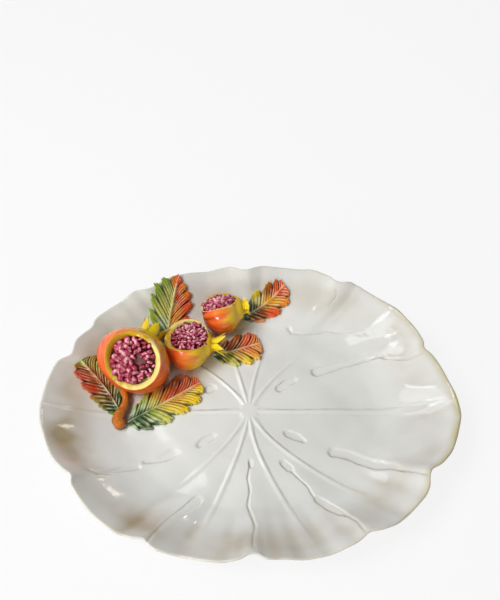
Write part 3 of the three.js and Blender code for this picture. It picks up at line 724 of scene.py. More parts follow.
def vein_relief(tray, turns, share, angle, radius):
    """The hub and the veins, as a share of their height, and the beige beside them: a little pooled glaze,
    and painted shade on the side away from the light. Across a vein the height is a bell curve, with a
    shallow trough on both sides of it. It is steeper on the side that faces the lee, away from the light,
    where the shade is painted, and fades towards the vein's reach."""
    vein = np.round(turns).astype(int)
    vein_angle = tray.angle(vein % len(LOBES) + 0.0, share) + 360 * (vein == len(LOBES))
    signed = np.radians(angle - vein_angle) * radius
    aside = np.abs(signed)
    turned = np.radians(vein_angle)
    lee = np.sign(signed) * (LEE[1] * np.cos(turned) - LEE[0] * np.sin(turned)) * eased(radius, 14, 30)
    fade = np.maximum(0, 1 - (share / VEIN_REACH[vein % len(LOBES)]) ** 2) ** 0.7
    half_width = VEIN_HALF_WIDTH * (1 + share) * (1.25 - 0.4 * lee)
    half_width = half_width + VEIN_SWELL * np.exp(-(radius / SWELL_REACH) ** 2)
    bell = np.exp(-(aside / half_width) ** 2)
    trough = VEIN_TROUGH * np.exp(-((aside - 2.4 * half_width) / half_width) ** 2) * eased(radius, 20, 45)
    hub = eased(radius, HUB_RADIUS + 3, HUB_RADIUS - 1.5)
    beside = np.exp(-((aside - 1.4 * half_width) / (0.6 * half_width)) ** 2)
    # Painted shade on the lee side, away from the light, over a little pooled glaze on both sides
    pool = (0.1 + 0.6 * np.clip(lee, 0, 1)) * fade * (1 - hub) * beside
    return np.maximum(hub, fade * (bell - trough)), pool


def slot_relief(x, y):
    """The slots, sunk within an edge that wanders a little, and the beige along the edge: a little pooled
    glaze all round, and painted shade on the front left edges, whose walls face away from the light."""
    relief, pool = np.zeros_like(x), np.zeros_like(x)
    for _, depth, path in SLOTS:
        distance, lean = slot_distance(x, y, path)
        distance = distance + SLOT_WANDER * waves(x, y, SLOT_WAVES)
        relief = relief - SLOT_DEPTH * depth * eased(-distance, -SLOT_EDGE / 2, SLOT_EDGE / 2)
        # Painted shade on the front left edges, whose walls face away from the light, over a little pooled
        # glaze
        run = 0.12 + 0.88 * np.clip(lean, 0, 1)
        pool = np.maximum(pool, min(1, depth) * run * np.exp(-((distance + 0.3) / 0.9) ** 2))
    return relief, pool


def wall_flutes(turns, angle, front):
    """Flutes of the wall: two sine waves round the platter that, at the front, give way to sunken folds
    in a wall that stands a little proud."""
    flutes = np.sin(2 * np.pi * 3 * turns + 0.6 * np.sin(turns * 1.7)) + 0.6 * np.sin(2 * np.pi * 4.6 * turns)
    folds = sum(np.exp(-((angle - fold) / FOLD_WIDTH) ** 2) for fold in FOLDS)
    proud = FRONT_PROUD * eased(angle, PROUD_START, PROUD_WHOLE)
    return flutes + front * (proud - FOLD_DEPTH * folds - flutes)


def rim_honey_and_wall_shade(x, y, share, flutes, front):
    """Honey where the glaze runs thin along the rim, most at the right end, with painted shade on the lip
    all round; and painted shade, with some thin glaze, on the steep wall, most at the front left, in a
    pocket by the left end and in the front folds."""
    # The last term paints shade on the lip all round, where it faces the lights
    edge = eased(share, 0.95, 1.0) * (0.15 + 0.95 * eased(x, 120, 190)) + 0.15 * eased(share, 0.985, 0.995)
    # The wall's beige is painted shade, with some thin glaze: most at the front left, in the pocket and folds
    leftward = 0.5 + 0.5 * eased(-x - 0.6 * y, 40, 190)
    steep = eased(share, 0.71, 0.88) * (1 - 0.75 * eased(share, 0.9, 0.985))
    pocket = np.exp(-((x - POCKET_X) / POCKET_LENGTH) ** 2 - ((y - POCKET_Y) / POCKET_WIDTH) ** 2)
    folds = front * eased(share, 0.55, 0.85) * np.clip(-flutes / 1.4, 0, 1)
    return edge, 0.7 * steep * leftward + 0.8 * pocket + 0.3 * folds


def platter_skin(tray, settings):
    """The platter: its top with the relief of veins, slots, soft waves and flutes, and an underside a
    wall below it, where the relief fades towards the foot. Shade is painted on the top round the fruits."""
    turn = column_turns()[None, :]
    share, below, drop = platter_rows(tray, turn)
    turns = turn * np.ones_like(share)
    angle = tray.angle(turns, share)
    radius = tray.radius(turns, share)
    x, y = radius * np.cos(np.radians(angle)), radius * np.sin(np.radians(angle))

    front = eased(-y, FRONT_START, FRONT_WHOLE)
    veins, pool = vein_relief(tray, turns, share, angle, radius)
    slots, slot_pool_and_shade = slot_relief(x, y)
    flutes = wall_flutes(turns, angle, front)
    (broad, broad_length), (fine, fine_length) = SOFT_WAVES
    soft = eased(share, 0.08, 0.4) * (broad * waves(x, y, broad_length) + fine * waves(y, x, fine_length))
    fluted = (FLUTE_HEIGHT + (FOLD_HEIGHT - FLUTE_HEIGHT) * front) * eased(share, 0.6, 0.92) * flutes
    relief = settings.vein / MM * veins + slots + soft + fluted
    relief = relief * np.where(below == 0, 1, eased(share, 0.55, 0.95))
    height = (tray.top(turns, share) + relief - settings.wall / MM / 2 * below) * (1 - drop)

    pool = np.maximum(pool, slot_pool_and_shade)
    # Painted shade round the fruits, in the beige of pooled glaze
    for fruit in FRUITS.values():
        gap = np.hypot(x - fruit["centre"][0], y - fruit["centre"][1]) - 0.75 * fruit["radius"]
        pool = np.maximum(pool, 0.55 * np.exp(-(np.maximum(gap, 0) / FRUIT_SHADE_REACH) ** 2))
    edge, thin = rim_honey_and_wall_shade(x, y, share, flutes, front)
    above = below < 2
    return skin(np.stack([x, y, height], -1), {
        "pool": pool * (below == 0), "edge": edge * above, "thin": thin * above, "bare": 1.0 * (drop > 0.9)})


def ivory_glaze(settings):
    """Tin-white majolica glaze over a moulded clay body: bright and very glossy, a little grey and
    uneven over wide areas, beige where it pooled in the slots and along the veins, with painted shade
    beside them on their sides away from the light and round the fruits, beige painted shade on the steep
    wall, most at the front left, and honey along the rim, with a little painted shade on the lip. The
    foot ring's land is bare, matt clay."""
    material, node = new_material("tin_glaze_ivory")
    place = node("TexCoord")["Object"]
    cloud = node("TexNoise", {"Vector": place, "Scale": per_mm(55), "Detail": 3})["Fac"]
    grey = [0.93 * value for value in settings.ivory[:3]]
    body = laid_over(node, settings.ivory, (*grey, 1), cloud, 0.35, 0.7)
    # Layers: pooled glaze with painted shade beside veins and slots and round the fruits, honey with painted
    # shade on the lip, and painted shade on the steep wall
    layers = (
        ("pool", settings.pooled, patches(node, place, 9, 0.3, 0.7, 0.35, 1)),
        ("edge", settings.honey, patches(node, place, 32, 0.35, 0.7, 0.6, 0.95)),
        ("thin", settings.beige, patches(node, place, 44, 0.35, 0.65, 0.35, 0.95)),
    )
    for name, glaze, uneven in layers:
        mask = node("Attribute", attribute_name=name)["Fac"]
        share = node("Math", (mask, uneven), operation="MULTIPLY")[0]
        body = node("Mix", {0: share, 6: body, 7: glaze}, **COLOURS)[2]
    bare = node("Attribute", attribute_name="bare")["Fac"]
    body = node("Mix", {0: bare, 6: body, 7: settings.clay}, **COLOURS)[2]
    roughness = node("MapRange", (bare, 0, 1, 0.09, 0.8), **SMOOTH)[0]
    fire(node, place, body, roughness, 0.1)
    return material


# Fruits

def heading(degrees, tilt):
    """Unit vector with a heading in plan and a tilt above the table."""
    turned, raised = np.radians(degrees), np.radians(tilt)
    return np.array([np.cos(raised) * np.cos(turned), np.cos(raised) * np.sin(turned), np.sin(raised)])


def frame_along(axis):
    """A level side vector, the axis, and the vector down the slope across both."""
    side = np.cross((0, 0, 1), axis)
    side /= np.linalg.norm(side)
    return side, axis, np.cross(side, axis)


def ball_radius(fruit, rays):
    """Radius of the fruit's ball along unit rays from its centre: a ball flattened along the crown's
    axis, a little angular round it, that draws out to a neck at the crown."""
    side, axis, fall = frame_along(heading(*fruit["axis"]))
    along = rays @ axis
    round_axis = np.arctan2(rays @ fall, rays @ side)
    ball = 1 / np.sqrt((along / fruit["half_length"]) ** 2 + (1 - along ** 2) / fruit["radius"] ** 2)
    from_axis = np.degrees(np.arccos(np.clip(along, -1, 1)))
    neck_radius, neck_length = fruit["neck"]
    edge = np.degrees(np.arctan2(neck_radius, fruit["half_length"] + neck_length))
    neck = neck_length * (1 - eased(from_axis, edge, 2.3 * edge))
    dimple = 1.5 * np.exp(-((180 - from_axis) / 14) ** 2)
    return ball * (1 + 0.008 * np.cos(5 * round_axis + 1)) + neck - dimple


def opening_frame(fruit, turn):
    """The opening's side, axis and slope vectors, and its lip round the axis: the point of the ball
    at each turn that lies the lip's distance from the axis."""
    side, out, fall = frame_along(heading(*fruit["opening"]))
    right, low, left, high = fruit["lip"]
    reach = (right + low + left + high) / 4 + (right + left - low - high) / 4 * np.cos(2 * turn)
    reach = reach + (right - left) / 2 * np.cos(turn) + (low - high) / 2 * np.sin(turn)
    across = np.cos(turn)[:, None] * side + np.sin(turn)[:, None] * fall
    tip = np.full(turn.shape, 1.0)
    for _ in range(12):
        ball = ball_radius(fruit, np.cos(tip)[:, None] * out + np.sin(tip)[:, None] * across)
        tip = 0.5 * tip + 0.5 * np.arcsin(np.minimum(reach / ball, 0.985))
    return side, out, fall, across, tip, ball * np.sin(tip), ball * np.cos(tip)


def bed_height(fruit, way, turn):
    """Height along the opening's axis of the seed bed, on a bent sheet that follows the lip: its
    mean, its lean each way and its saddle, with a dome over the middle."""
    around = np.linspace(0, 2 * np.pi, 72, endpoint=False)
    lip_up = opening_frame(fruit, around)[-1]
    parts = (np.cos(around), np.sin(around), np.cos(2 * around))
    lean, fall, saddle = (2 * np.mean(lip_up * part) for part in parts)
    sheet = lip_up.mean() + (lean * np.cos(turn) + fall * np.sin(turn)) * way
    sheet = sheet + saddle * np.cos(2 * turn) * way ** 2
    return sheet - fruit["slope"] + fruit["dome"] * (1 - way ** 2)


def rind_skin(fruit, tray):
    """The rind in rings round the opening's axis: from the bowl's floor up its wall, over the pith, a
    slope with a low crest, to the lip, and down the outside of the ball into the platter."""
    columns = 112
    turn = np.linspace(0, 2 * np.pi, columns, endpoint=False)
    side, out, fall, across, tip, lip_out, lip_up = opening_frame(fruit, turn)
    circle = np.stack([np.cos(turn), np.sin(turn)])
    middle = np.array(fruit["shift"])[:, None] * np.ones(columns)
    bowl = middle + np.array(fruit["bowl"])[:, None] * circle
    lip = lip_out * circle
    brim = bed_height(fruit, np.ones(columns), turn)
    floor = np.full(columns, brim.mean() - fruit["depth"])

    def ring(plan, up):
        return plan[0][:, None] * side + plan[1][:, None] * fall + up[:, None] * out

    rings = [ring(middle, floor), ring(0.3 * middle + 0.7 * bowl, floor + 1.5), ring(bowl, brim - 2.5),
             ring(bowl, brim - 0.6)]
    ways = np.linspace(0.04, 0.95, 10)
    for way in ways:
        crest = PITH_CREST * np.sin(np.pi * way)
        rings.append(ring(bowl + (lip - bowl) * way, brim + (lip_up - brim) * way + crest))
    bent = tip + (np.pi - tip) * np.linspace(0, 1, 46)[:, None] ** 1.1
    rays = np.cos(bent)[..., None] * out + np.sin(bent)[..., None] * across
    shell = ball_radius(fruit, rays)[..., None] * rays
    shell[0] *= 0.994

    flat = across[:, :2] / np.maximum(np.linalg.norm(across[:, :2], axis=1, keepdims=True), 1e-6)
    covered = fruit["lip_rind"] * np.clip(flat @ (0.5, 0.87), 0, 1)
    inner = np.concatenate([np.zeros(len(rings) - len(ways)), ways])[:, None]
    pith = 1 - eased(inner, 1.02 - covered, 1.12 - covered)
    lip_pith = 0.45 * (1 - eased(covered, 0, 0.2))
    mask = np.concatenate([pith, lip_pith[None, :], np.zeros((len(shell) - 1, columns))])
    rings = np.concatenate([rings, shell])
    points = rings + np.array(fruit["centre"])
    seat = tray.height(points[..., 0], points[..., 1]) - RIND_SINK
    points[..., 2] = np.maximum(points[..., 2], seat)

    axis_side, axis, axis_fall = frame_along(heading(*fruit["axis"]))
    along = rings @ axis
    crownward = along / fruit["half_length"]
    aside = np.stack([rings @ axis_side, rings @ axis_fall], -1)
    aside = fruit["radius"] * aside / np.maximum(np.linalg.norm(aside, axis=-1, keepdims=True), 1e-6)
    brush = np.concatenate([aside, 0.22 * along[..., None]], -1) * MM
    # Painted light on the pith: cream on its lit side, gold on its shaded side
    cream = 0.5 + 0.5 * flat @ np.array(fruit["cream"])
    # Past 0.95 the russet paints shade far from the crown, most on the small fruit
    ripe = np.minimum(fruit["yellow_from"] - crownward, fruit["ripest"]) - 0.6 * eased(crownward, 0.6, 0.95)
    return skin(points, {
        "pith": mask,
        "cream": np.ones(len(rings))[:, None] * cream,
        "ripe": ripe,
        "brush": brush,
    })


def rind_glaze(settings):
    """Brushed coloured glazes over a white slip: strokes of red and orange that thin to yellow by
    the crown, with russet far from it as painted shade, and a yellow pith painted deep gold on its
    shaded side and cream on its lit side."""
    material, node = new_material("brushed_glaze_rind")
    place = node("TexCoord")["Object"]
    brush = node("Attribute", attribute_name="brush")["Vector"]
    stroke = patches(node, brush, 7, 0.25, 0.75, -0.45, 0.45, detail=3)
    fine = node("TexNoise", {"Vector": brush, "Scale": per_mm(2.6), "Detail": 3})["Fac"]
    ripe = node("Attribute", attribute_name="ripe")["Fac"]
    ripe = node("Math", (ripe, stroke), operation="ADD")[0]
    peel = laid_over(node, settings.yellow, settings.orange, ripe, -0.15, 0.3)
    peel = laid_over(node, peel, settings.red, ripe, 0.1, 0.9)
    # Painted shade: russet where the rind is ripest, far from the crown
    peel = laid_over(node, peel, settings.russet_shade, ripe, 0.95, 1.6)
    peel = laid_over(node, peel, settings.orange, fine, 0.5, 0.8, 0.45)
    # Painted light and shade on the pith: cream on its lit side, gold on its shaded side
    cream = node("Attribute", attribute_name="cream")["Fac"]
    cream = node("Math", (cream, patches(node, place, 8, 0.3, 0.7, -0.2, 0.2)), operation="ADD")[0]
    flesh = laid_over(node, settings.gold, settings.cream, cream, 0.25, 0.85)
    pith = node("Attribute", attribute_name="pith")["Fac"]
    fire(node, place, node("Mix", {0: pith, 6: peel, 7: flesh}, **COLOURS)[2], 0.13, 0.14)
    return material


def aril_skins(fruit, seed):
    """The bed of the seeds, a dome over the bowl with a hollow, and seeds set spirally on it. Each
    seed is a squared-off ball that narrows to one end, stretched, turned and tilted at random."""
    draw = np.random.default_rng(seed)
    side, out, fall = frame_along(heading(*fruit["opening"]))
    centre = np.array(fruit["centre"]) + fruit["shift"][0] * side + fruit["shift"][1] * fall
    wide, tall = fruit["bowl"][0] + 0.3, fruit["bowl"][1] + 0.3
    hollow_side, hollow_fall, hollow_wide, hollow_tall, hollow_depth = fruit["hollow"]

    def bed(way, turn):
        u, v = wide * way * np.cos(turn), tall * way * np.sin(turn)
        pit = np.exp(-((u - hollow_side) / hollow_wide) ** 2 - ((v - hollow_fall) / hollow_tall) ** 2)
        return u, v, bed_height(fruit, way, turn) - hollow_depth * pit, pit * (hollow_depth > 0)

    turn = np.linspace(0, 2 * np.pi, 64, endpoint=False)[None, :]
    ways = np.concatenate([[0, 1], np.linspace(1, 0, 16)])[:, None] * np.ones_like(turn)
    u, v, w, pit = bed(ways, turn * np.ones_like(ways))
    w = w - 0.9 * fruit["seed"] * (1 - 0.6 * pit) + 0.5 * waves(u, v, 7) * pit
    w[:2] = w[2].mean() - fruit["depth"] + 3.5
    place = centre + u[..., None] * side + v[..., None] * fall + w[..., None] * out
    bare = eased(pit, 0.3, 0.8)
    skins = [skin(place, {"crest": np.zeros(u.shape), "tone": np.full(u.shape, 0.5), "bare": bare})]

    count = fruit["seeds"]
    index = np.arange(count)
    way = np.sqrt((index + 0.5) / count) * (1 - 0.35 * fruit["seed"] / wide)
    spiral = index * GOLDEN + draw.uniform(-0.1, 0.1, count)
    u, v, w, pit = bed(way + draw.uniform(-0.03, 0.02, count) * (way < 0.9), spiral)
    size = fruit["seed"] * (1 - fruit["finer"] * eased(u, -0.3 * wide, 0.5 * wide))
    w = w - size * draw.uniform(0.45, 0.95, count)
    sizes = size[:, None] * draw.uniform(0.86, 1.16, (count, 1)) * draw.uniform(0.84, 1.12, (count, 3))
    sizes *= SEED_STRETCH
    tilt = draw.normal(0, 0.22, (count, 2))
    spin = np.arctan2(v, u) + draw.normal(0, 0.7, count)
    # Painted light: seeds paler towards the middle of the bowl
    tone = draw.uniform(0, 1, count) + 2 * fruit["pale"] * (1 - way)
    polar = np.linspace(0, np.pi, 9)[:, None]
    around = np.linspace(0, 2 * np.pi, 12, endpoint=False)
    ball = np.stack(np.broadcast_arrays(
        np.sin(polar) * np.cos(around), np.cos(polar), np.sin(polar) * np.sin(around)), -1)
    ball = np.sign(ball) * np.abs(ball) ** SEED_POWER
    end = ball[..., 0]
    drop = ball * np.stack([np.ones_like(end), 0.88 + 0.12 * end, 0.8 + 0.2 * end], -1)
    # Painted light: the tops of the seeds paler, their bottoms darker
    crest = np.clip(0.5 + 0.5 * ball[..., 1], 0, 1)
    for at in np.flatnonzero(pit < 0.5):
        shape = drop * sizes[at]
        cos, sin = np.cos(spin[at]), np.sin(spin[at])
        p, q = cos * shape[..., 0] - sin * shape[..., 2], sin * shape[..., 0] + cos * shape[..., 2]
        lean = shape[..., 1] + tilt[at, 0] * p + tilt[at, 1] * q
        seed_points = (centre + (u[at] + p)[..., None] * side + (v[at] + q)[..., None] * fall
                       + (w[at] + lean)[..., None] * out)
        skins.append(skin(seed_points, {
            "crest": crest, "tone": np.full(crest.shape, tone[at]), "bare": np.zeros(crest.shape)}))
    return skins


def aril_glaze(settings):
    """Crimson glaze on the seeds, painted with light and shade: pale pink tops as painted highlights,
    speckled with painted glints, rose sides, and crimson low on the seeds and between them as painted
    shade, each seed a little different, and a dull brown bed where no seeds are set."""
    material, node = new_material("pooled_glaze_aril")
    place = node("TexCoord")["Object"]
    crest = node("Attribute", attribute_name="crest")["Fac"]
    tone = node("Attribute", attribute_name="tone")["Fac"]
    tone = node("MapRange", (tone, 0, 1, -0.12, 0.12), clamp=False)[0]
    speckle = patches(node, place, 2.6, 0.3, 0.7, -0.2, 0.2, detail=3)
    level = node("Math", (crest, speckle), operation="ADD")[0]
    level = node("Math", (level, tone), operation="ADD")[0]
    # Painted light and shade: crimson low down and between seeds, rose sides, blush tops, speckled glints
    seed = laid_over(node, settings.crimson, settings.rose, level, 0.5, 0.85)
    seed = laid_over(node, seed, settings.blush, level, 0.88, 1.25)
    streak = node("TexNoise", {"Vector": place, "Scale": per_mm(4), "Detail": 3})["Fac"]
    bed = laid_over(node, settings.crimson, settings.hollow, streak, 0.35, 0.65)
    bare = node("Attribute", attribute_name="bare")["Fac"]
    roughness = node("MapRange", (crest, 0, 0.5, 0.45, 0.12), **SMOOTH)[0]
    fire(node, place, node("Mix", {0: bare, 6: seed, 7: bed}, **COLOURS)[2], roughness, 0.1)
    return material


def crown_skin(fruit, crown):
    """The crown on the neck: a cup whose wall runs up into sepals that narrow and curl out, then
    down inside to the cup's floor."""
    per_point, points = 20, len(crown["lengths"])
    column = np.arange(per_point * points)
    nearest = np.round(column / per_point)
    off = column / per_point - nearest
    star = crown["valley"] + (1 - crown["valley"]) * (1 - np.abs(2 * off) ** crown["slim"])
    uneven = np.array(crown["lengths"])[nearest.astype(int) % points]
    outer = np.linspace(0, 1, 15)[:, None]
    inner = np.linspace(1, 0, 13)[1:, None]
    way = np.concatenate([[[0]], outer, inner, [[0]]])
    inside = np.concatenate([[[0]], 0 * outer, np.ones_like(inner), [[1]]])
    poles = np.zeros_like(way)
    poles[[0, -1]] = 1
    up = way * (crown["tube"] + crown["sepal"] * star * uneven)
    beyond = np.clip((up - 0.5 * crown["tube"]) / (crown["sepal"] + 0.5 * crown["tube"]), 0, 1)
    angle = (nearest + crown["turn"] + off * (1 - crown["pinch"] * beyond)) * 2 * np.pi / points
    flare = crown["flare"] * uneven * beyond ** 1.5
    waist = 0.6 * np.sin(np.pi * np.clip(up / crown["tube"], 0, 1))
    keel = 0.5 * beyond * (1 - np.abs(2 * off))
    thick = CROWN_WALL * (1 - 0.35 * beyond)
    radius = (crown["radius"] + flare - waist + keel - inside * thick) * (1 - poles)
    up = up + inside * np.maximum(0, 0.4 * crown["tube"] - up)
    up = np.where(way == 0, np.where(inside > 0, 0.4 * crown["tube"], -1.2), up)
    side, axis, fall = frame_along(heading(*fruit["axis"]))
    start = fruit["half_length"] + fruit["neck"][1] - 0.6
    place = (np.array(fruit["centre"]) + (radius * np.sin(angle))[..., None] * side
             + (start + up)[..., None] * axis + (radius * np.cos(angle))[..., None] * fall)
    fold = np.clip(np.abs(2 * off) ** 2 * (1 - 0.4 * beyond) + 0.7 * inside * (1 - beyond), 0, 1)
    return skin(place, {"fold": fold, "tip": beyond * (1 - 0.3 * inside)})


def crown_glaze(settings):
    """Yellow glaze, thin and pale at the sepals' tips and olive where it ran into the folds."""
    material, node = new_material("thin_glaze_crown")
    place = node("TexCoord")["Object"]
    fold = node("Attribute", attribute_name="fold")["Fac"]
    fold = node("Math", (fold, patches(node, place, 6, 0.3, 0.7, -0.25, 0.25)), operation="ADD")[0]
    body = laid_over(node, settings.lemon, settings.moss, fold, 0.35, 1, 0.8)
    tip = node("Attribute", attribute_name="tip")["Fac"]
    fire(node, place, laid_over(node, body, settings.cream, tip, 0.45, 1, 0.55), 0.14, 0.14)
    return material


# Leaves

def leaf_colours(leaf, settings, along, aside):
    """The dabs of glaze flowed together: at each place their mean, where a dab counts with the inverse
    fourth power of its distance."""

    def weight(name, places):
        squares = (((along - u) / DAB_LENGTH) ** 2 + ((aside - v) / DAB_WIDTH) ** 2 for u, v in places)
        return HIGHLIGHT_DABS.get(name, 1) * sum((0.02 + square) ** -2 for square in squares)

    weights = np.stack([weight(name, places) for name, places in leaf["dabs"].items()], -1)
    palette = np.array([tuple(getattr(settings, name)) for name in leaf["dabs"]])
    return (weights @ palette) / weights.sum(-1, keepdims=True)


def leaf_skin(leaf, tray, settings):
    """A leaf from base to tip. Lines of equal way leave the midrib at a small angle and curve out to the
    edge, where they form lobes that point forward, with a tooth between each two engraved lines. The
    blade swells in its lobes and follows the platter under it. The columns run over the top from the
    left edge to the right and back underneath."""
    rows = np.linspace(0, 1, 241) ** 1.2
    across = np.sin(np.linspace(np.pi / 2, -np.pi / 2, 71))
    under = np.array([-0.96, -0.6, 0, 0.6, 0.96])
    top = np.repeat([1, 0], [len(across), len(under)])
    side = np.concatenate([across, under]) * np.ones((len(rows), 1))
    way = rows[:, None] * np.ones_like(side)
    spread = np.abs(side)
    left = side > 0

    # Lobes counted from split to split, and engraved lines counted within them, on each side
    splits = [np.array([0, *cuts, 1]) for cuts in leaf["cuts"]]
    steps = [np.round(np.diff(cuts) * leaf["length"] / LEAF_LINE_GAP) for cuts in splits]
    lines = [np.cumsum([0, *np.maximum(2, step)]) for step in steps]
    count = np.where(left, *(np.interp(rows, cuts, np.arange(len(cuts)))[:, None] for cuts in splits))
    line = np.where(left, *(np.interp(rows, *pair)[:, None] for pair in zip(splits, lines)))
    lobe = np.abs(np.sin(np.pi * (np.floor(count) + (count - np.floor(count)) ** 1.25))) ** 0.5
    tooth = (0.5 + 0.5 * np.cos(2 * np.pi * line)) ** 2 * eased(way, 0.97, 0.85) * eased(way, 0.03, 0.15)

    # Place in plan
    low, high = leaf["powers"]
    widest = low / (low + high)
    outline = (way / widest) ** low * ((1 - way) / (1 - widest)) ** high
    sinus = (1 - lobe) * eased(way, 1, 0.86)
    half = np.where(left, *leaf["half"])
    inward = SPLIT_CUT * sinus * eased(spread, 0.4, 1) + TOOTH_CUT * tooth * eased(spread, 0.7, 1)
    out = side * half * outline * (1 - inward)
    reach = np.abs(out)
    lean = np.where(left, *(base + (tip - base) * eased(way, 0, 0.7) for base, tip in leaf["lean"]))
    sweep = lean * (reach + 3 * (1 - np.exp(-reach / 3)))
    room = leaf["length"] * (1.0001 - way) * 0.85
    sweep = sweep / (1 + (sweep / room) ** 3) ** (1 / 3)
    bow = leaf["bow"] * (way - way ** 2) * leaf["length"]
    forward = leaf["length"] * way + sweep
    turned = np.radians(leaf["heading"])
    x = leaf["base"][0] + np.cos(turned) * forward - np.sin(turned) * (out + bow)
    y = leaf["base"][1] + np.sin(turned) * forward + np.cos(turned) * (out + bow)

    # Engraving: grooves along the lines, the splits between the lobes, and holes where these end
    bold = 0.55 + 0.45 * np.sin(2.4 * np.floor(line + 0.5) + 1)
    line = 2 * np.pi * (line + 0.12 * waves(x, y, 17) * np.sin(np.pi * count) ** 2)
    groove = (0.5 + 0.5 * np.cos(line)) ** 3 * (0.55 + 0.45 * bold)
    vein = (0.5 - 0.5 * np.cos(line)) ** 2 * (0.75 + 0.25 * waves(x + 40, y, 13))
    split = np.exp(-((1 - np.abs(np.cos(np.pi * count))) / 0.08)) * eased(way, 1, 0.9)
    on_blade = eased(reach, 0.5, 2.2) * eased(way, 0, 0.06) * eased(way, 1, 0.94)
    shown = on_blade * eased(spread, 0.97, 0.6)
    hole = np.exp(-((spread - 0.85) / 0.2) ** 2) * split * on_blade
    cut = settings.groove / MM * (shown * (0.8 * groove + 0.5 * split) + 1.3 * hole)

    # Height over the platter
    thickness = settings.thickness / MM
    blade = thickness * (0.45 + 0.55 * outline)
    rib = settings.midrib / MM * np.exp(-(out / RIB_WIDTH) ** 2) * eased(way, 0, 0.06) * eased(way, 1, 0.9)
    trough = -TROUGH_DEPTH * np.exp(-((reach - TROUGH_PLACE) / TROUGH_WIDTH) ** 2) * outline
    swell = LOBE_SWELL * lobe * eased(spread, 0.25, 0.8) * outline + 0.4 * waves(x, y, 19) * spread
    curl = leaf["lift"] * way ** 2 * (0.5 + 0.5 * spread)
    edge = -0.6 * thickness * eased(spread, 0.9, 1) ** 2
    above = (blade + rib + trough + swell + edge - cut + curl) * top - (1 - top)

    # The holes are painted dark too: painted shade in the pit at each split's end
    dark = shown * (0.85 * groove + 0.5 * split) + 1.5 * hole
    pale = np.exp(-(out / 0.9) ** 2) + 0.85 * vein * shown + 0.4 * eased(spread, 0.88, 0.97)
    return skin(np.stack([x, y, tray.height(x, y) + above], -1), {
        "glaze": leaf_colours(leaf, settings, forward / leaf["length"], out / half),
        "groove": np.clip(dark, 0, 1) * top,
        "ridge": np.clip(pale, 0, 1) * top,
    })


def leaf_glaze(settings):
    """Dabs of coloured glaze that flowed together on a modelled leaf: dark where they filled the
    engraved lines, painted dark as shade in the holes at the splits' ends, and paler where they thinned
    over the ridges, the midrib and the edge."""
    material, node = new_material("flowed_glaze_leaf")
    place = node("TexCoord")["Object"]
    base = node("Attribute", attribute_name="glaze")["Color"]
    mottle = patches(node, place, 5, 0.3, 0.7, 0, 0.35, detail=3)
    body = node("Mix", {0: mottle, 6: base, 7: settings.straw}, blend_type="SOFT_LIGHT", **COLOURS)[2]
    ridge = node("Attribute", attribute_name="ridge")["Fac"]
    ridge = node("Math", (ridge, patches(node, place, 9, 0.3, 0.65, 0.35, 1)), operation="MULTIPLY")[0]
    body = laid_over(node, body, settings.slip, ridge, 0.1, 0.85, 0.64)
    filled = node("Mix", {0: 0.82, 6: base, 7: settings.shade}, **COLOURS)[2]
    groove = node("Attribute", attribute_name="groove")["Fac"]
    fire(node, place, laid_over(node, body, filled, groove, 0.15, 0.85, 0.9), 0.2, 0.14)
    return material


# Twig

def smooth_path(points, count):
    """A smooth curve through points: cubic pieces whose slope at a point is that of its neighbours."""
    points = np.array(points, float)
    padded = np.concatenate([2 * points[:1] - points[1:2], points, 2 * points[-1:] - points[-2:-1]])
    at = np.linspace(0, len(points) - 1, count)
    low = np.minimum(at.astype(int), len(points) - 2)
    t = (at - low)[:, None]
    a, b, c, d = (padded[low + step] for step in range(4))
    slope, bend, twist = c - a, 2 * a - 5 * b + 4 * c - d, 3 * b - a - 3 * c + d
    return b + 0.5 * (slope * t + bend * t ** 2 + twist * t ** 3)


def twig_skin(tray, settings):
    """A round stem carried along its path, knobbly, thicker at its cut end and closed at both."""
    plan = smooth_path(TWIG_POINTS, 60)
    radius = settings.radius / MM
    height = tray.height(plan[:, 0], plan[:, 1]) + radius - settings.sink / MM
    height = height + np.linspace(TWIG_RISE, 0, len(plan))
    path = np.column_stack([plan, height])
    along = np.linspace(0, 1, len(path))
    thick = radius * (0.72 + 0.58 * eased(along, 0.15, 0.75) + 0.04 * np.sin(11 * along + 0.5))
    tangent = np.gradient(path, axis=0)
    tangent /= np.linalg.norm(tangent, axis=1, keepdims=True)
    side = np.cross(tangent, (0, 0, 1))
    side /= np.linalg.norm(side, axis=1, keepdims=True)
    up = np.cross(side, tangent)
    turn = np.linspace(0, 2 * np.pi, 28, endpoint=False)
    ends = np.radians(np.linspace(0, 90, 7))
    head = path[0] - np.outer(np.cos(ends), tangent[0]) * TWIG_ENDS[0] * radius
    tail = path[-1] + np.outer(np.cos(ends[::-1]), tangent[-1]) * TWIG_ENDS[1] * radius
    spine = np.concatenate([head[:-1], path, tail[1:]])
    taper = np.concatenate([thick[0] * np.sin(ends[:-1]), thick, thick[-1] * np.sin(ends[::-1][1:])])
    sides, ups = (np.pad(vectors, ((len(ends) - 1,) * 2, (0, 0)), "edge") for vectors in (side, up))
    knobs = 1 + 0.035 * np.sin(3 * turn + 7 * np.linspace(0, 1, len(spine))[:, None] * 2 * np.pi)
    stem = np.cos(turn)[:, None] * sides[:, None] + np.sin(turn)[:, None] * ups[:, None]
    points = spine[:, None] + (taper[:, None] * knobs)[..., None] * stem
    # Painted shade: the low attribute darkens the underside of the stem
    return skin(points, {"low": np.clip(0.5 - 0.5 * np.sin(turn), 0, 1) * np.ones((len(spine), 1))})


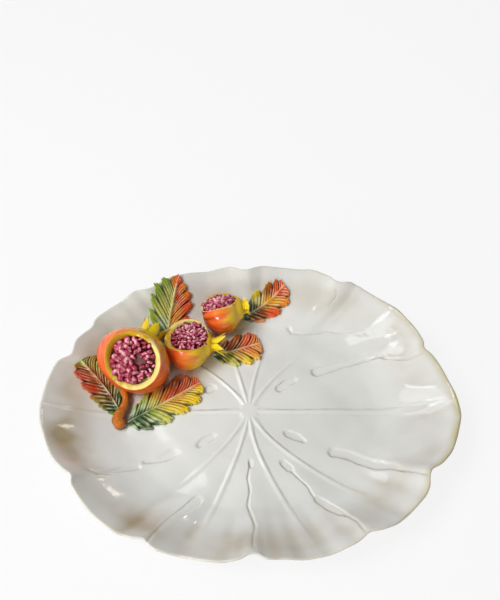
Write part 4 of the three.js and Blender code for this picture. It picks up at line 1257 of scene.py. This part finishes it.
def twig_glaze(settings):
    """Amber brown glaze over a knobbly stem, painted darker umber on its underside as painted shade."""
    material, node = new_material("run_glaze_twig")
    place = node("TexCoord")["Object"]
    low = node("Attribute", attribute_name="low")["Fac"]
    low = node("Math", (low, patches(node, place, 6, 0.3, 0.7, -0.3, 0.35, detail=3)), operation="ADD")[0]
    fire(node, place, laid_over(node, settings.amber, settings.umber, low, 0.1, 0.95), 0.12, 0.6)
    return material


# Stage

def add_light(name, place, size, tint, watts):
    """A rectangular softbox that looks at the platter, in metres."""
    data = bpy.data.lights.new(name, "AREA")
    data.shape = "RECTANGLE"
    data.size, data.size_y = size
    data.energy = watts
    data.color = tint
    lamp = bpy.data.objects.new(name, data)
    lamp.location = place
    back = np.array(place, float) - np.array(AIM)
    back /= np.linalg.norm(back)
    lamp.rotation_euler = (np.arccos(back[2]), 0, np.arctan2(back[1], back[0]) + np.pi / 2)
    bpy.context.scene.collection.objects.link(lamp)
    return lamp


def paper_material(settings):
    """Matt white studio paper, which shows as an even white where the camera sees it straight, by
    reflection or through glass, and keeps a light shadow."""
    material, node = new_material("studio_paper")
    path = node("LightPath")
    shown = node("Math", (path["Is Camera Ray"], path["Is Glossy Ray"]), operation="MAXIMUM")[0]
    shown = node("Math", (shown, path["Is Transmission Ray"]), operation="MAXIMUM")[0]
    share = node("Math", (shown, PAPER_GLOW), operation="MULTIPLY")[0]
    matt = node("BsdfDiffuse", {"Color": settings.floor})[0]
    glow = node("Emission", {"Color": settings.floor, "Strength": 1})[0]
    node("OutputMaterial", {"Surface": node("MixShader", (share, matt, glow))[0]})
    return material


def sweep_mesh():
    """A round studio sweep: a flat floor just under the foot that curves up to a wall all round. It is
    a skin of rings whose upper end stays open."""
    turn = np.linspace(0, 2 * np.pi, 96, endpoint=False)
    bend = np.linspace(0, np.pi / 2, 13)
    wall = [SWEEP_FLAT + SWEEP_BEND] * 2
    radius = np.concatenate([[0, 0.5], SWEEP_FLAT + SWEEP_BEND * np.sin(bend), wall])[:, None]
    height = np.concatenate([[0, 0], SWEEP_BEND * (1 - np.cos(bend)), [SWEEP_HEIGHT] * 2])[:, None]
    plan = radius * np.cos(turn), radius * np.sin(turn)
    rings = np.stack(np.broadcast_arrays(*plan, height - FLOOR_GAP), -1)
    points, quads, fans, _ = skin(rings[:, ::-1])
    top = len(points) - 1
    mesh = bpy.data.meshes.new("studio_sweep")
    mesh.from_pydata(points[:top].tolist(), [], quads.tolist() + fans[fans[:, 0] != top].tolist())
    mesh.polygons.foreach_set("use_smooth", np.ones(len(mesh.polygons), bool))
    return mesh


class TrayOperator:
    """What the operators share."""

    bl_options = {"REGISTER", "UNDO"}

    def tray(self, context):
        """The platter's top, as the scene's settings make it."""
        return Tray(context.scene.leaf_tray_platter)


class LEAFTRAY_OT_platter(TrayOperator, bpy.types.Operator):
    """Make the moulded leaf platter"""

    bl_idname = "leaf_tray.platter"
    bl_label = "Platter"

    def execute(self, context):
        settings = context.scene.leaf_tray_platter
        skins = [platter_skin(self.tray(context), settings)]
        add_piece("platter", skins, ivory_glaze(settings))
        return {"FINISHED"}


class LEAFTRAY_OT_rinds(TrayOperator, bpy.types.Operator):
    """Make the opened rinds of the fruits"""

    bl_idname = "leaf_tray.rinds"
    bl_label = "Rinds"

    def execute(self, context):
        tray = self.tray(context)
        glaze = rind_glaze(context.scene.leaf_tray_fruit)
        for name, fruit in FRUITS.items():
            add_piece(f"{name}_rind", [rind_skin(fruit, tray)], glaze)
        return {"FINISHED"}


class LEAFTRAY_OT_arils(TrayOperator, bpy.types.Operator):
    """Make the seeds in the fruits"""

    bl_idname = "leaf_tray.arils"
    bl_label = "Arils"

    def execute(self, context):
        glaze = aril_glaze(context.scene.leaf_tray_fruit)
        for seed, (name, fruit) in enumerate(FRUITS.items()):
            add_piece(f"{name}_arils", aril_skins(fruit, seed), glaze)
        return {"FINISHED"}


class LEAFTRAY_OT_crowns(TrayOperator, bpy.types.Operator):
    """Make the crowns of the fruits"""

    bl_idname = "leaf_tray.crowns"
    bl_label = "Crowns"

    def execute(self, context):
        glaze = crown_glaze(context.scene.leaf_tray_fruit)
        for name, fruit in FRUITS.items():
            add_piece(f"{name}_crown", [crown_skin(fruit, CROWNS[name])], glaze)
        return {"FINISHED"}


class LEAFTRAY_OT_leaves(TrayOperator, bpy.types.Operator):
    """Make the engraved leaves"""

    bl_idname = "leaf_tray.leaves"
    bl_label = "Leaves"

    def execute(self, context):
        settings = context.scene.leaf_tray_leaf
        tray = self.tray(context)
        glaze = leaf_glaze(settings)
        for name, leaf in LEAVES.items():
            add_piece(name, [leaf_skin(leaf, tray, settings)], glaze)
        return {"FINISHED"}


class LEAFTRAY_OT_twig(TrayOperator, bpy.types.Operator):
    """Make the twig"""

    bl_idname = "leaf_tray.twig"
    bl_label = "Twig"

    def execute(self, context):
        settings = context.scene.leaf_tray_twig
        add_piece("twig", [twig_skin(self.tray(context), settings)], twig_glaze(settings))
        return {"FINISHED"}


class LEAFTRAY_OT_stage(TrayOperator, bpy.types.Operator):
    """Make the floor, the lights and the camera"""

    bl_idname = "leaf_tray.stage"
    bl_label = "Stage"

    def execute(self, context):
        settings = context.scene.leaf_tray_stage
        scene = context.scene
        mesh = sweep_mesh()
        mesh.materials.append(paper_material(settings))
        floor = bpy.data.objects.new("studio_sweep", mesh)
        scene.collection.objects.link(floor)

        world = bpy.data.worlds.new("studio")
        world.use_nodes = True
        room = world.node_tree.nodes["Background"].inputs
        room["Color"].default_value = ROOM_TINT
        room["Strength"].default_value = ROOM_STRENGTH
        scene.world = world
        key = add_light("overhead_softbox", *KEY, settings.key_watts)
        key.visible_glossy = False
        add_light("front_softbox", *FILL, settings.fill_watts)
        for name, pane in PANES.items():
            add_light(name, *pane)

        lens = bpy.data.cameras.new("photo_camera")
        lens.sensor_width = SENSOR
        lens.lens = FOCAL_LENGTH / PHOTO_HEIGHT * SENSOR
        lens.shift_x = SHIFT_RIGHT / PHOTO_HEIGHT
        lens.shift_y = SHIFT_UP / PHOTO_HEIGHT
        camera = bpy.data.objects.new("photo_camera", lens)
        raised = np.radians(CAMERA_RAISED)
        camera.location = np.array(AIM) + CAMERA_DISTANCE * np.array([0, -np.cos(raised), np.sin(raised)])
        camera.rotation_euler = (np.pi / 2 - raised, 0, 0)
        scene.collection.objects.link(camera)
        scene.camera = camera
        scene.view_settings.view_transform = "Standard"
        return {"FINISHED"}


class LEAFTRAY_PT_panel(bpy.types.Panel):
    """Lists the tray's pieces and their settings"""

    bl_idname = "LEAFTRAY_PT_panel"
    bl_label = "Leaf tray"
    bl_space_type = "VIEW_3D"
    bl_region_type = "UI"
    bl_category = "Leaf tray"

    def draw(self, context):
        for operator in OPERATORS:
            self.layout.operator(operator.bl_idname)
        for group in GROUPS:
            box = self.layout.box()
            for name in GROUPS[group].__annotations__:
                box.prop(getattr(context.scene, group), name)


OPERATORS = (
    LEAFTRAY_OT_stage, LEAFTRAY_OT_platter, LEAFTRAY_OT_rinds, LEAFTRAY_OT_arils, LEAFTRAY_OT_crowns,
    LEAFTRAY_OT_leaves, LEAFTRAY_OT_twig,
)
GROUPS = {
    "leaf_tray_platter": PlatterSettings,
    "leaf_tray_fruit": FruitSettings,
    "leaf_tray_leaf": LeafSettings,
    "leaf_tray_twig": TwigSettings,
    "leaf_tray_stage": StageSettings,
}


def register():
    for kind in (*GROUPS.values(), *OPERATORS, LEAFTRAY_PT_panel):
        bpy.utils.register_class(kind)
    for name, group in GROUPS.items():
        setattr(bpy.types.Scene, name, bpy.props.PointerProperty(type=group))


def unregister():
    for name in GROUPS:
        delattr(bpy.types.Scene, name)
    for kind in reversed((*GROUPS.values(), *OPERATORS, LEAFTRAY_PT_panel)):
        bpy.utils.unregister_class(kind)


def main():
    """Makes every piece."""
    register()
    bpy.ops.leaf_tray.stage()
    bpy.ops.leaf_tray.platter()
    bpy.ops.leaf_tray.rinds()
    bpy.ops.leaf_tray.arils()
    bpy.ops.leaf_tray.crowns()
    bpy.ops.leaf_tray.leaves()
    bpy.ops.leaf_tray.twig()


if __name__ == "__main__":
    main()
